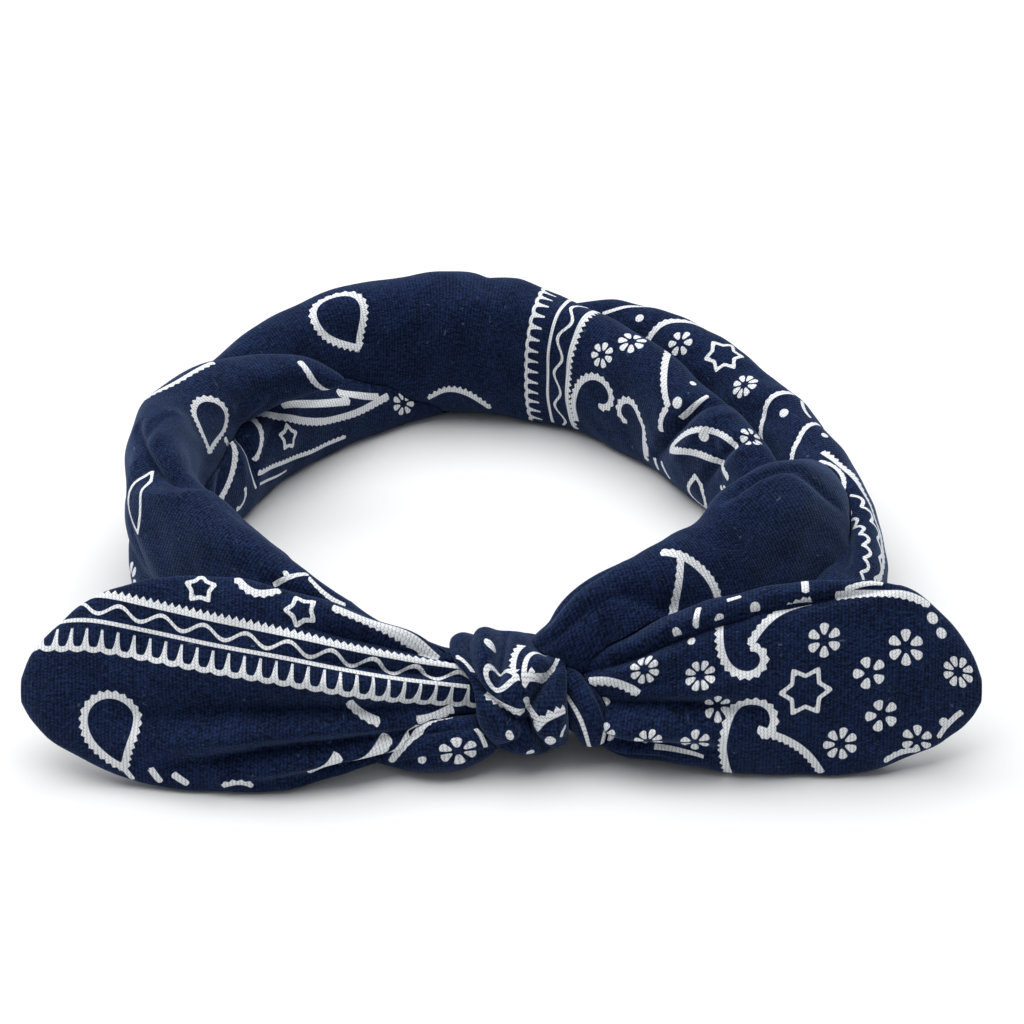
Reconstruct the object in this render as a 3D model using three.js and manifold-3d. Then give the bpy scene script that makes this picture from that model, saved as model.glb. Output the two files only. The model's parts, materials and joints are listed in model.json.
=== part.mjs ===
// A knotted bandana headband of soft printed jersey, lying on its lower edge as if just set down.
// The band is a hollow loop in overlapping stretches, and its front is gathered through a knot
// from which two leaf-shaped bow tails spread.
// Millimetres. +X is the longest way across, +Z is up, and the knot is on the -Y side.
import * as THREE from "three";
import { mergeVertices } from "three/addons/utils/BufferGeometryUtils.js";
import Module from "manifold-3d";

const wasm = await Module();
wasm.setup();

// Driving dimensions
const CLOTH = 1.8; // two plies of jersey, as the band and the tails are sewn into tubes
const SEAM_GAP = 0.4; // clear space kept between neighbouring pieces
const FLOOR = 0; // height of the surface that the headband rests on
const TO_BASE = [2.25, 1.5, 0]; // moves the origin to the middle of the footprint

// How finely the shapes are lofted: points round a section, and sections between two table rows.
const BAND_SIDES = 14;
const TAIL_SIDES = 18;
const KNOT_SIDES = 10;
const OUTSIDE_STEPS = 2;
const INSIDE_STEPS = 1;

const { degToRad } = THREE.MathUtils;
const UP = new THREE.Vector3(0, 0, 1);
const FORWARDS = new THREE.Vector3(0, -1, 0);

// Rows of numbers under the names of their columns.
const table = (columns, rows) =>
  rows.map((row) => Object.fromEntries(columns.map((name, i) => [name, row[i]])));

// Band stretches, each run anticlockwise round the loop as seen from above.
// x, y, z: middle of the section. tall, deep: its size up and through.
// lean: degrees that its top tips outwards. full: 2 is an ellipse, more is squarer.
// crease: depth of the fold along the side that faces the middle of the loop.
// shut: the ends that are turned in, where the other ends are open and tucked in the knot.
const BAND_COLUMNS = ["x", "y", "z", "tall", "deep", "lean", "full", "crease"];
const BAND = {
  band_front_right: {
    shut: { last: true },
    rows: [
      [3, -61, 14, 11, 7, 0, 2, 0],
      [11, -63, 15, 20, 12, 0, 2.2, 0],
      [21, -61, 17.5, 34, 17, -8, 2.2, 0],
      [35, -57, 19.5, 41, 19, -15, 2.3, 1],
      [50, -46, 21, 45, 20, -20, 2.3, 1],
      [62, -32, 23.5, 47, 19, -20, 2.3, 0],
      [69, -18, 22, 35, 18, -12, 2.2, 0],
      [71, -8, 18, 22, 14, 0, 2, 0],
      [70, -1, 15, 8, 6, 0, 2, 0],
    ],
  },
  band_outer_right: {
    shut: { first: true, last: true },
    rows: [
      [40, -63, 9, 7, 5, 0, 2, 0],
      [48, -60, 11, 19, 12, 0, 2, 0],
      [66, -50, 12, 26, 14, 0, 2.2, 0],
      [77, -33, 12, 27, 16, 0, 2.2, 0],
      [79, -12, 12, 27, 16, 0, 2.2, 0],
      [73, 11, 13, 28, 17, 4, 2.2, 0],
      [64, 32, 13, 29, 17, 6, 2.2, 0],
      [52, 50, 14, 30, 17, 6, 2.2, 0],
      [39, 64, 15, 30, 17, 6, 2.2, 0],
      [25, 73, 16, 26, 14, 6, 2, 0],
      [12, 77.5, 17.5, 17, 10, 0, 2, 0],
      [4, 79, 18, 7, 5, 0, 2, 0],
    ],
  },
  band_back: {
    shut: { first: true, last: true },
    rows: [
      [69, -16, 9, 9, 6, 0, 2, 0],
      [66, -6, 11, 21, 12, 0, 2.2, 0],
      [61, 6, 11, 24, 13, 0, 2.2, 1],
      [55, 19, 12, 28, 15, 0, 2.2, 2],
      [45, 34, 13, 30, 16, 0, 2.2, 2.5],
      [34, 49, 14, 32, 17, 0, 2.2, 1],
      [18, 63.5, 15, 34, 20, 0, 2.3, 0],
      [2, 71, 16, 36, 24, 0, 2.3, 0],
      [-15, 73, 18, 37, 25, 4, 2.3, 1],
      [-30, 71, 19, 33, 23, 8, 2.2, 1],
      [-45, 66, 20, 29, 20, 8, 2.2, 0],
      [-60, 57, 18, 28, 18, 0, 2.1, 0],
      [-71, 44, 15, 28, 15, 0, 2.1, 0],
      [-78, 29, 13, 26, 13, 0, 2.1, 0],
      [-81, 16, 12, 14, 7, 0, 2, 0],
    ],
  },
  band_inner_left: {
    shut: { first: true, last: true },
    rows: [
      [-6, 71, 3, 5, 5, 0, 2, 0],
      [-20, 68, 5, 12, 9, 0, 2, 0],
      [-36, 60.5, 7, 18, 12, 0, 2.1, 0],
      [-51, 48, 9, 22, 13, 0, 2.2, 1],
      [-62, 35, 10, 25, 14, 0, 2.2, 1],
      [-70, 20, 10, 26, 13, 0, 2.2, 0],
      [-74, 8, 10, 22, 9, 0, 2.1, 0],
      [-75, 0, 10, 8, 5, 0, 2, 0],
    ],
  },
  band_left: {
    shut: { first: true },
    rows: [
      [-43, 38, 28.5, 4, 5, 0, 2, 0],
      [-52, 37.5, 29.5, 10, 11, 0, 2.1, 0],
      [-63, 33.5, 30, 14, 15, 0, 2.2, 0],
      [-74, 25, 28, 22, 18, 0, 2.3, 1],
      [-81, 10, 23, 38, 18, 0, 2.4, 2],
      [-82, -5, 21, 45, 17, 0, 2.4, 2],
      [-79, -21, 20, 44, 18, -4, 2.4, 1],
      [-69, -38, 20, 43, 19, -8, 2.3, 1],
      [-54, -54, 18.5, 40, 19, -10, 2.3, 0],
      [-36, -63, 15, 30, 17, -4, 2.2, 0],
      [-17, -65, 14, 18, 12, 0, 2.2, 0],
      [-5, -61, 14, 11, 7, 0, 2, 0],
    ],
  },
};

// Bow tails. heading: 0 runs along +X. lean: degrees that the leaf leans back from upright.
// out: distance from the root. top, low: edge above and below the root line.
// puff: thickness through the middle. bow: how far the middle swells forwards.
// pleat: depth of the gathers that fan out from the knot.
const TAIL_COLUMNS = ["out", "top", "low", "puff", "bow", "pleat"];
const PLEATS = 3; // gathers from the low edge to the top
const TAILS = {
  tail_left: {
    root: [-1, -71, 15.5],
    heading: 180,
    lean: 32,
    rows: [
      [0, 5, 5, 7, 0, 0],
      [10, 6.5, 7, 9, -1, 0.8],
      [24, 13.5, 14, 13, 2, 1.6],
      [36, 19, 18.5, 14, 4.5, 1.4],
      [50, 23.4, 21.5, 13, 5.5, 1],
      [64, 25.4, 22.5, 12, 5.5, 0.6],
      [78, 25, 20.5, 10, 5, 0.3],
      [90, 21.3, 16, 8.5, 4, 0],
      [99, 14.8, 11.5, 7, 3, 0],
      [104.5, 8.8, 6.5, 5, 2, 0],
      [107, 3, 2.5, 2.6, 1.5, 0],
    ],
  },
  tail_right: {
    root: [3, -70, 15.5],
    heading: 0,
    lean: 24,
    rows: [
      [0, 5, 5, 7, 0, 0],
      [10, 6, 10, 9, -1, 0.8],
      [20, 11, 15, 13, 1, 1.8],
      [33, 17.5, 16.5, 15, 3, 1.8],
      [47, 22.3, 18.5, 14, 3.5, 1.2],
      [61, 24.6, 19.5, 13, 3.5, 0.6],
      [73, 25.2, 18.5, 11.5, 3.5, 0.3],
      [83, 23.2, 15.5, 9.5, 3, 0],
      [92, 16.7, 12, 7.5, 2, 0],
      [98, 8.7, 7, 5, 1, 0],
      [100.5, 2.5, 3, 2.6, 1, 0],
    ],
  },
};

// The strip wrapped round the gathers, as a closed hoop about an axis along X.
// Its rows stand at even angles, from the top over the front.
// x: middle of the strip. width: along X. thick: how deep its bunched plies lie.
const WRAP_COLUMNS = ["x", "width", "thick"];
const WRAP_CENTRE = [0, -66, 12.8];
const WRAP_REACH = { through: 12.5, up: 9.3 }; // axis to the middle of the strip
const WRAP = [
  [-3, 26, 6],
  [-2, 24, 7],
  [0, 21, 8],
  [2, 18, 9.5],
  [3, 15, 6.5],
  [3, 15, 5],
  [0, 18, 5],
  [-2, 22, 5],
];

// Bunched cloth beside the wrap: the tuck that comes out below it on the left, and the strand
// that runs down its right side. facing: the way that the section's up side faces.
const BUNCH_COLUMNS = ["x", "y", "z", "tall", "deep"];
const BUNCHES = {
  knot_tuck_left: {
    facing: UP,
    rows: [
      [-2, -73, 8, 5, 6],
      [-6, -76, 7.5, 10, 9],
      [-12, -78.5, 7, 13, 11],
      [-19, -78.5, 6, 12, 11],
      [-26, -77.5, 4.5, 8.5, 9],
      [-31, -77, 3, 4, 5],
    ],
  },
  knot_strand_right: {
    facing: FORWARDS,
    rows: [
      [8, -64, 24, 3, 4],
      [12, -68, 22, 7, 8],
      [15.5, -72.5, 17, 9, 10],
      [17.5, -74.5, 11.5, 8, 9],
      [18, -75, 6, 5, 6],
    ],
  },
};

// The table at a place between two rows, smoothed through every column.
function between(rows, at) {
  const i = Math.min(Math.floor(at), rows.length - 2);
  const t = at - i;
  const pick = (k) => rows[THREE.MathUtils.clamp(k, 0, rows.length - 1)];
  const [a, b, c, d] = [pick(i - 1), pick(i), pick(i + 1), pick(i + 2)];
  const blend = (p, q, r, s) => {
    const start = (r - p) / 2;
    const end = (s - q) / 2;
    return (
      q * (2 * t ** 3 - 3 * t ** 2 + 1) +
      start * (t ** 3 - 2 * t ** 2 + t) +
      r * (3 * t ** 2 - 2 * t ** 3) +
      end * (t ** 3 - t ** 2)
    );
  };
  return Object.fromEntries(Object.keys(b).map((name) => [name, blend(a[name], b[name], c[name], d[name])]));
}

function stations(rows, steps) {
  const count = (rows.length - 1) * steps;
  return Array.from({ length: count + 1 }, (_, i) => i / steps);
}

const middleOf = ({ x, y, z }) => new THREE.Vector3(x, y, z);
const rounded = (v, full) => Math.sign(v) * Math.abs(v) ** (2 / full);

// The directions at a place: along the stretch, out of its side and up across its section.
function frameAt(rows, at, lean, facing) {
  const ahead = middleOf(between(rows, Math.min(at + 0.1, rows.length - 1)));
  const behind = middleOf(between(rows, Math.max(at - 0.1, 0)));
  const along = ahead.sub(behind).normalize();
  const outward = new THREE.Vector3().crossVectors(along, facing).normalize();
  const upright = new THREE.Vector3().crossVectors(outward, along).normalize();
  const rise = upright.multiplyScalar(Math.cos(lean)).addScaledVector(outward, Math.sin(lean));
  const side = new THREE.Vector3().crossVectors(along, rise).normalize();
  return { along, side, rise };
}

// One section of a stretch, drawn in from its outside by inset and moved along by slide.
function stretchRing({ rows, facing = UP, sides }, at, inset, slide = 0) {
  const { x, y, z, tall, deep, lean = 0, full = 2, crease = 0 } = between(rows, at);
  const { along, side, rise } = frameAt(rows, at, degToRad(lean), facing);
  const middle = middleOf({ x, y, z }).addScaledVector(along, slide);
  return Array.from({ length: sides }, (_, k) => {
    const angle = (2 * Math.PI * k) / sides;
    const facesIn = Math.max(0, -Math.cos(angle)) ** 6;
    const through = Math.max(deep / 2 - inset - facesIn * crease, 0.3);
    const up = Math.max(tall / 2 - inset, 0.3);
    const point = middle
      .clone()
      .addScaledVector(side, through * rounded(Math.cos(angle), full))
      .addScaledVector(rise, up * rounded(Math.sin(angle), full));
    point.z = Math.max(point.z, FLOOR + inset);
    return point;
  });
}

// One section of a bow tail: a lens across the leaf, with the pleats on its face.
function tailRing({ root, heading, lean, rows }, at, inset, slide = 0) {
  const row = between(rows, at);
  const tip = degToRad(lean);
  const along = new THREE.Vector3(Math.cos(degToRad(heading)), 0, 0);
  const rise = new THREE.Vector3(0, Math.sin(tip), Math.cos(tip));
  const front = new THREE.Vector3(0, -Math.cos(tip), Math.sin(tip));
  const half = Math.max((row.top + row.low) / 2 - 1.5 * inset, 0.5);
  return Array.from({ length: TAIL_SIDES }, (_, k) => {
    const angle = (2 * Math.PI * k) / TAIL_SIDES;
    const across = Math.sin(angle);
    const pleat = row.pleat * Math.cos(Math.PI * PLEATS * across) * Math.abs(Math.cos(angle));
    const through = Math.max(row.puff / 2 - inset, 0.4) * Math.cos(angle);
    const point = new THREE.Vector3(...root)
      .addScaledVector(along, row.out + slide)
      .addScaledVector(rise, (row.top - row.low) / 2 + half * across)
      .addScaledVector(front, row.bow + through + pleat);
    point.z = Math.max(point.z, FLOOR + inset);
    return point;
  });
}

// One section of the knot's wrap.
function wrapRing(rows, at, inset) {
  const lap = [...rows.slice(-1), ...rows, ...rows.slice(0, 2)];
  const { x, width, thick } = between(lap, at + 1);
  const turn = (2 * Math.PI * at) / rows.length;
  const outward = new THREE.Vector3(0, -Math.sin(turn), Math.cos(turn));
  const reach = new THREE.Vector3(0, WRAP_REACH.through, WRAP_REACH.up);
  const middle = outward.clone().multiply(reach).add(new THREE.Vector3(...WRAP_CENTRE));
  return Array.from({ length: KNOT_SIDES }, (_, k) => {
    const angle = (2 * Math.PI * k) / KNOT_SIDES;
    const point = middle.clone().addScaledVector(outward, (thick / 2 - inset) * Math.sin(angle));
    point.x += x + (width / 2 - inset) * rounded(Math.cos(angle), 2.2);
    return point;
  });
}

// A closed geometry through rings: a loop joins its last ring to its first, else its ends are capped.
function loft(rings, loop = false) {
  const sides = rings[0].length;
  const points = rings.flat();
  const index = [];
  for (let r = 0; r < (loop ? rings.length : rings.length - 1); r++) {
    const here = r * sides;
    const next = ((r + 1) % rings.length) * sides;
    for (let k = 0; k < sides; k++) {
      const l = (k + 1) % sides;
      index.push(here + k, here + l, next + l, here + k, next + l, next + k);
    }
  }
  if (!loop) {
    capEnd(points, index, rings[0], 0, false);
    capEnd(points, index, rings.at(-1), (rings.length - 1) * sides, true);
  }
  const geometry = new THREE.BufferGeometry();
  const coordinates = points.flatMap((p) => p.toArray());
  geometry.setAttribute("position", new THREE.Float32BufferAttribute(coordinates, 3));
  geometry.setIndex(index);
  return geometry;
}

function capEnd(points, index, ring, start, last) {
  const middle = ring.reduce((sum, p) => sum.add(p), new THREE.Vector3());
  points.push(middle.divideScalar(ring.length));
  ring.forEach((_, k) => {
    const l = (k + 1) % ring.length;
    index.push(points.length - 1, start + (last ? k : l), start + (last ? l : k));
  });
}

function toSolid(geometry) {
  const merged = mergeVertices(geometry, 1e-4);
  const vertProperties = merged.attributes.position.array;
  const solid = (triVerts) => new wasm.Manifold(new wasm.Mesh({ numProp: 3, vertProperties, triVerts }));
  const faces = new Uint32Array(merged.index.array);
  const made = solid(faces);
  if (made.volume() > 0) return made;
  return solid(faces.reverse());
}

function toGeometry(solid) {
  const { numVert, numProp, vertProperties, triVerts } = solid.getMesh();
  const coordinates = [];
  for (let i = 0; i < numVert; i++) {
    coordinates.push(...vertProperties.subarray(i * numProp, i * numProp + 3));
  }
  const geometry = new THREE.BufferGeometry();
  geometry.setAttribute("position", new THREE.Float32BufferAttribute(coordinates, 3));
  geometry.setIndex(new THREE.Uint32BufferAttribute(triVerts, 1));
  geometry.computeVertexNormals();
  return geometry;
}

// The solid inside a piece's outline, and the room it takes: the outline let out by the seam gap.
function filled(ringAt, rows) {
  const places = stations(rows, OUTSIDE_STEPS);
  const first = ringAt(places[0], -SEAM_GAP, -SEAM_GAP);
  const last = ringAt(places.at(-1), -SEAM_GAP, SEAM_GAP);
  const middle = places.slice(1, -1).map((at) => ringAt(at, -SEAM_GAP));
  return {
    cloth: toSolid(loft(places.map((at) => ringAt(at, 0)))),
    room: toSolid(loft([first, ...middle, last])),
  };
}

// The same piece as a wall of cloth: its inside is taken out, up to its shut ends.
function hollowed(ringAt, rows, { first = false, last = false }) {
  const piece = filled(ringAt, rows);
  const places = stations(rows, INSIDE_STEPS).slice(first ? 1 : 0, last ? -1 : undefined);
  const past = (at) => (at === 0 ? -1 : at === rows.length - 1 ? 1 : 0);
  const inside = toSolid(loft(places.map((at) => ringAt(at, CLOTH, past(at)))));
  return { ...piece, cloth: piece.cloth.subtract(inside) };
}

function bandStretch({ rows, shut }) {
  const stretch = { rows: table(BAND_COLUMNS, rows), sides: BAND_SIDES };
  return hollowed((...place) => stretchRing(stretch, ...place), stretch.rows, shut);
}

function bowTail(shape) {
  const tail = { ...shape, rows: table(TAIL_COLUMNS, shape.rows) };
  return hollowed((...place) => tailRing(tail, ...place), tail.rows, { last: true });
}

function bunch({ rows, facing }) {
  const strand = { rows: table(BUNCH_COLUMNS, rows), facing, sides: KNOT_SIDES };
  return filled((...place) => stretchRing(strand, ...place), strand.rows);
}

function knotWrap() {
  const rows = table(WRAP_COLUMNS, WRAP);
  const places = stations([...rows, rows[0]], OUTSIDE_STEPS).slice(0, -1);
  const hoop = (inset) => toSolid(loft(places.map((at) => wrapRing(rows, at, inset)), true));
  return { cloth: hoop(0), room: hoop(-SEAM_GAP) };
}

const pieces = { knot_wrap: knotWrap() };
for (const [name, shape] of Object.entries(BUNCHES)) pieces[name] = bunch(shape);
for (const [name, shape] of Object.entries(TAILS)) pieces[name] = bowTail(shape);
for (const [name, shape] of Object.entries(BAND)) pieces[name] = bandStretch(shape);

// Each piece gives way to the ones named here, which lie over it.
const LIES_UNDER = {
  knot_wrap: [],
  knot_tuck_left: ["knot_wrap"],
  knot_strand_right: ["knot_wrap"],
  tail_left: ["knot_wrap", "knot_tuck_left"],
  tail_right: ["knot_wrap", "knot_strand_right"],
  band_front_right: ["knot_wrap", "knot_strand_right", "tail_left", "tail_right"],
  band_left: ["knot_wrap", "knot_tuck_left", "tail_left", "tail_right", "band_front_right"],
  band_outer_right: ["tail_right", "band_front_right"],
  band_back: ["band_front_right", "band_outer_right", "band_left"],
  band_inner_left: ["band_left", "band_back"],
};

const largest = (solid) => solid.decompose().sort((a, b) => b.volume() - a.volume())[0];

const headband = new THREE.Group();
headband.position.set(...TO_BASE);
for (const [name, above] of Object.entries(LIES_UNDER)) {
  const cut = above.reduce((solid, other) => solid.subtract(pieces[other].room), pieces[name].cloth);
  const navy = new THREE.MeshStandardMaterial({ color: 0x16234a, roughness: 0.92, metalness: 0 });
  const mesh = new THREE.Mesh(toGeometry(largest(cut)), navy);
  mesh.name = name;
  headband.add(mesh);
}

export default headband;
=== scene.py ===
"""Bandana headband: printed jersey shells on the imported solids, with a plain studio stage."""
import json
import math

import bmesh
import bpy
import numpy as np
from bpy.props import FloatProperty, FloatVectorProperty, PointerProperty
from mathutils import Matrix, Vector, kdtree

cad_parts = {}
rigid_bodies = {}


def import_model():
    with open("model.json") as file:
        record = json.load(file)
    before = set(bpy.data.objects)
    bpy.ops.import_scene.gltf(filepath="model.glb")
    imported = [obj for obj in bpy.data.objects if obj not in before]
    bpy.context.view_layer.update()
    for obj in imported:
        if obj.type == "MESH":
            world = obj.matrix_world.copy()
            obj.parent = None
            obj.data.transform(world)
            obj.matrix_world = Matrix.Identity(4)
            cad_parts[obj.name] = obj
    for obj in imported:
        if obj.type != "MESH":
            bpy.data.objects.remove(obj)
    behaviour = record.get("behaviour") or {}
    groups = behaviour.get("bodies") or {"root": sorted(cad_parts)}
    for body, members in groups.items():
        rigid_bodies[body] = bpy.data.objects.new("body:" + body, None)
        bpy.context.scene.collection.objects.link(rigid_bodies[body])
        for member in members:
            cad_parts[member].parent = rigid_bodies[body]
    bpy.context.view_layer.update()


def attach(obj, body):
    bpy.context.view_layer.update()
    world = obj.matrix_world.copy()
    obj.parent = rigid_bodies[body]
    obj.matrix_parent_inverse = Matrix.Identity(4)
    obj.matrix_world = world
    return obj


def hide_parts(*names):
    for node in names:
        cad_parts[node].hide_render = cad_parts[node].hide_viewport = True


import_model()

bl_info = {
    "name": "Bandana headband",
    "version": (1, 0, 0),
    "blender": (4, 5, 0),
    "location": "3D View > Sidebar > Headband",
    "description": "Builds a knotted bandana headband of printed jersey",
    "category": "Add Mesh",
}

MM = 0.001
TO_BASE = np.array([2.25, 1.5, 0.0])  # mm, from the tables' origin to the middle of the footprint
UP = np.array([0.0, 0.0, 1.0])
FORWARDS = np.array([0.0, -1.0, 0.0])

# ---------------------------------------------------------------- shapes, in millimetres

# Band stretches, run anticlockwise round the loop as seen from above.
# x y z: middle of the section. tall, deep: its size up and through.
# lean: degrees that its top tips outwards. full: how square it is, from OVAL up.
# shut: whether the cloth is closed at the stretch's start and at its end.
STRETCHES = {
    "band_front_right": {
        "shut": (False, True),
        "rows": [
            (3, -61, 14, 11, 7, 0, 2),
            (11, -63, 16, 24, 13, -4, 2.2),
            (21, -61, 18.5, 37, 18, -12, 2.2),
            (35, -57, 20, 42, 19, -18, 2.3),
            (50, -46, 21, 45, 20, -20, 2.3),
            (62, -32, 23.5, 47, 19, -20, 2.3),
            (69, -18, 22, 35, 18, -12, 2.2),
            (71, -8, 18, 22, 14, 0, 2),
            (70, -1, 15, 8, 6, 0, 2),
        ],
    },
    "band_outer_right": {
        "shut": (True, True),
        "rows": [
            (40, -63, 9, 7, 5, 0, 2),
            (48, -60, 11, 19, 12, 0, 2),
            (66, -50, 12, 26, 14, 0, 2.2),
            (77, -33, 12, 27, 16, 0, 2.2),
            (79, -12, 12, 27, 16, 0, 2.2),
            (73, 11, 13, 28, 17, 4, 2.2),
            (64, 32, 13, 29, 17, 6, 2.2),
            (52, 50, 14, 30, 17, 6, 2.2),
            (39, 64, 15, 30, 17, 6, 2.2),
            (25, 73, 16, 26, 14, 6, 2),
            (12, 77.5, 17.5, 17, 10, 0, 2),
            (4, 79, 18, 7, 5, 0, 2),
        ],
    },
    "band_back": {
        "shut": (True, True),
        "rows": [
            (69, -16, 9, 9, 6, 0, 2),
            (66, -6, 11, 21, 12, 0, 2.2),
            (61, 6, 11, 24, 13, 0, 2.2),
            (55, 19, 12, 28, 15, 0, 2.2),
            (45, 34, 13, 30, 16, 0, 2.2),
            (34, 49, 14, 32, 17, 0, 2.2),
            (18, 63.5, 15, 34, 20, 0, 2.3),
            (2, 71, 16, 36, 24, 0, 2.3),
            (-15, 73, 18, 37, 25, 4, 2.3),
            (-30, 71, 19, 33, 23, 8, 2.2),
            (-45, 66, 20, 29, 20, 8, 2.2),
            (-60, 57, 18, 28, 18, 0, 2.1),
            (-71, 44, 15, 28, 15, 0, 2.1),
            (-78, 29, 13, 26, 13, 0, 2.1),
            (-81, 16, 12, 14, 7, 0, 2),
        ],
    },
    "band_inner_left": {
        "shut": (True, True),
        "rows": [
            (-6, 71, 3, 5, 5, 0, 2),
            (-20, 68, 5, 12, 9, 0, 2),
            (-36, 60.5, 7, 18, 12, 0, 2.1),
            (-51, 48, 9, 22, 13, 0, 2.2),
            (-62, 35, 10, 25, 14, 0, 2.2),
            (-70, 20, 10, 26, 13, 0, 2.2),
            (-74, 8, 10, 22, 9, 0, 2.1),
            (-75, 0, 10, 8, 5, 0, 2),
        ],
    },
    "band_left": {
        "shut": (True, False),
        "rows": [
            (-41, 38, 28, 1.5, 2, 0, 2),
            (-44, 38, 28.4, 5, 5.5, 0, 2),
            (-52, 37.5, 29.5, 10, 11, 0, 2.1),
            (-63, 33.5, 30, 14, 15, 0, 2.2),
            (-74, 25, 28, 22, 18, 0, 2.3),
            (-81, 10, 23, 38, 18, 0, 2.4),
            (-82, -5, 21, 45, 17, 0, 2.4),
            (-79, -21, 20, 44, 18, -4, 2.4),
            (-69, -38, 20, 43, 19, -8, 2.3),
            (-54, -54, 18.5, 40, 19, -10, 2.3),
            (-36, -63, 15, 30, 17, -4, 2.2),
            (-17, -65, 14, 18, 12, 0, 2.2),
            (-5, -61, 14, 11, 7, 0, 2),
        ],
    },
}

# Bow tails. heading: +1 runs along +X. lean: degrees that the leaf leans back from upright.
# out: distance from the root. top, low: edge above and below the root line.
# puff: thickness through the middle. bow: how far the middle swells forwards.
# pleat: depth of the gathers that fan out from the knot.
TAILS = {
    "tail_left": {
        "root": (-1, -71, 15.5),
        "heading": -1,
        "lean": 32,
        "rows": [
            (0, 5, 5, 7, 0, 0),
            (10, 6.5, 7, 9, -1, 0.8),
            (24, 13.5, 14, 13, 2, 1.6),
            (36, 19, 18.5, 14, 4.5, 1.4),
            (50, 23.4, 21.5, 13, 5.5, 1),
            (64, 25.4, 22.5, 12, 5.5, 0.6),
            (78, 25, 20.5, 10, 5, 0.3),
            (90, 21.3, 16, 8.5, 4, 0),
            (99, 14.8, 11.5, 7, 3, 0),
            (104.5, 8.8, 6.5, 5, 2, 0),
            (107, 3, 2.5, 2.6, 1.5, 0),
        ],
    },
    "tail_right": {
        "root": (3, -70, 15.5),
        "heading": 1,
        "lean": 24,
        "rows": [
            (0, 5, 5, 7, 0, 0),
            (10, 6, 10, 9, -1, 0.8),
            (20, 11, 15, 13, 1, 1.8),
            (33, 17.5, 16.5, 15, 3, 1.8),
            (47, 22.3, 18.5, 14, 3.5, 1.2),
            (61, 24.6, 19.5, 13, 3.5, 0.6),
            (73, 25.2, 18.5, 11.5, 3.5, 0.3),
            (83, 23.2, 15.5, 9.5, 3, 0),
            (92, 16.7, 12, 7.5, 2, 0),
            (98, 8.7, 7, 5, 1, 0),
            (100.5, 2.5, 3, 2.6, 1, 0),
        ],
    },
}

# The strip round the knot, as a hoop about an axis along X: rows at even angles from the top,
# over the front. x: middle of the strip. width: along X. thick: how deep its plies lie.
WRAP_CENTRE = np.array([0, -66, 12.8])
WRAP_REACH = np.array([0, 12.5, 9.3])
WRAP = [
    (-1, 25, 5),
    (1.5, 21, 6.8),
    (2.5, 19.5, 8),
    (4, 17, 9.2),
    (4, 15, 6.5),
    (3, 15, 5),
    (0, 18, 5),
    (-2, 22, 5),
]

# Bunched cloth beside the wrap. facing: the way that the section's up side faces.
BUNCHES = {
    "knot_tuck_left": {
        "facing": UP,
        "rows": [
            (-2, -73, 8, 5, 6),
            (-6, -76, 7.5, 10, 9),
            (-12, -78.5, 7, 13, 11),
            (-19, -78.5, 6, 12, 11),
            (-26, -77.5, 4.5, 8.5, 9),
            (-31, -77, 3, 4, 5),
        ],
    },
    "knot_strand_right": {
        "facing": FORWARDS,
        "rows": [
            (10, -67, 19, 3, 4),
            (13, -70.5, 17.5, 5.5, 6),
            (15.8, -74, 14.5, 7.5, 8),
            (17.3, -76, 10.5, 8, 8.5),
            (17.8, -76, 6, 5.5, 6),
        ],
    },
}

# Each piece gives way to the ones named here, which lie over it.
LIES_UNDER = {
    "knot_wrap": (),
    "knot_tuck_left": ("knot_wrap",),
    "knot_strand_right": ("knot_wrap",),
    "tail_left": ("knot_wrap", "knot_tuck_left"),
    "tail_right": ("knot_wrap", "knot_strand_right"),
    "band_front_right": ("knot_wrap", "knot_strand_right", "tail_left", "tail_right"),
    "band_left": ("knot_wrap", "knot_tuck_left", "tail_left", "tail_right", "band_front_right"),
    "band_outer_right": ("tail_right", "band_front_right"),
    "band_back": ("band_front_right", "band_outer_right", "band_left"),
    "band_inner_left": ("band_left", "band_back"),
}


# The cloth, in millimetres where nothing else is said.
CLOTH = 1.8  # the wall of a rolled stretch
SEAM_GAP = 0.4  # between neighbours
LEAST = 0.3  # the least half size of a section
FLOOR_EASE = 1.2  # how softly cloth meets the table
WAVES = (26, 17, 11, 7.5)  # lengths of the cloth's slight waves
CRUMPLE = 0.010  # their height, as a share of their length
WIDE = 60  # round a section, from where it crumples fully
CALM_END = 6  # at each end of a piece, where creases grow shallower
CREASE_FADE = 0.7  # how a crease fades along its run, slower for less
CREASE_FLANK = 1.6  # how steep a crease's sides are
OVAL = 2.0  # the squareness of an ellipse
WRAP_FULL = 2.2
EDGE_ON = 1.5  # walls that a bow tail's inside stays clear of its slanting edges
FINE = 0.6  # between points on a piece
ROOMY = 1.5  # between points on the room a piece takes
TRIES_ALONG = 60  # places measured between two rows
TRIES_ROUND = 721  # places measured round a section
NUDGE = 0.1  # of a row, to find which way a path runs
CRUMB = 1 / 12  # of the largest part's points: a smaller part is a crumb of a cut
CRISP = 50  # degrees, from where an edge is shaded as sharp

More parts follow.
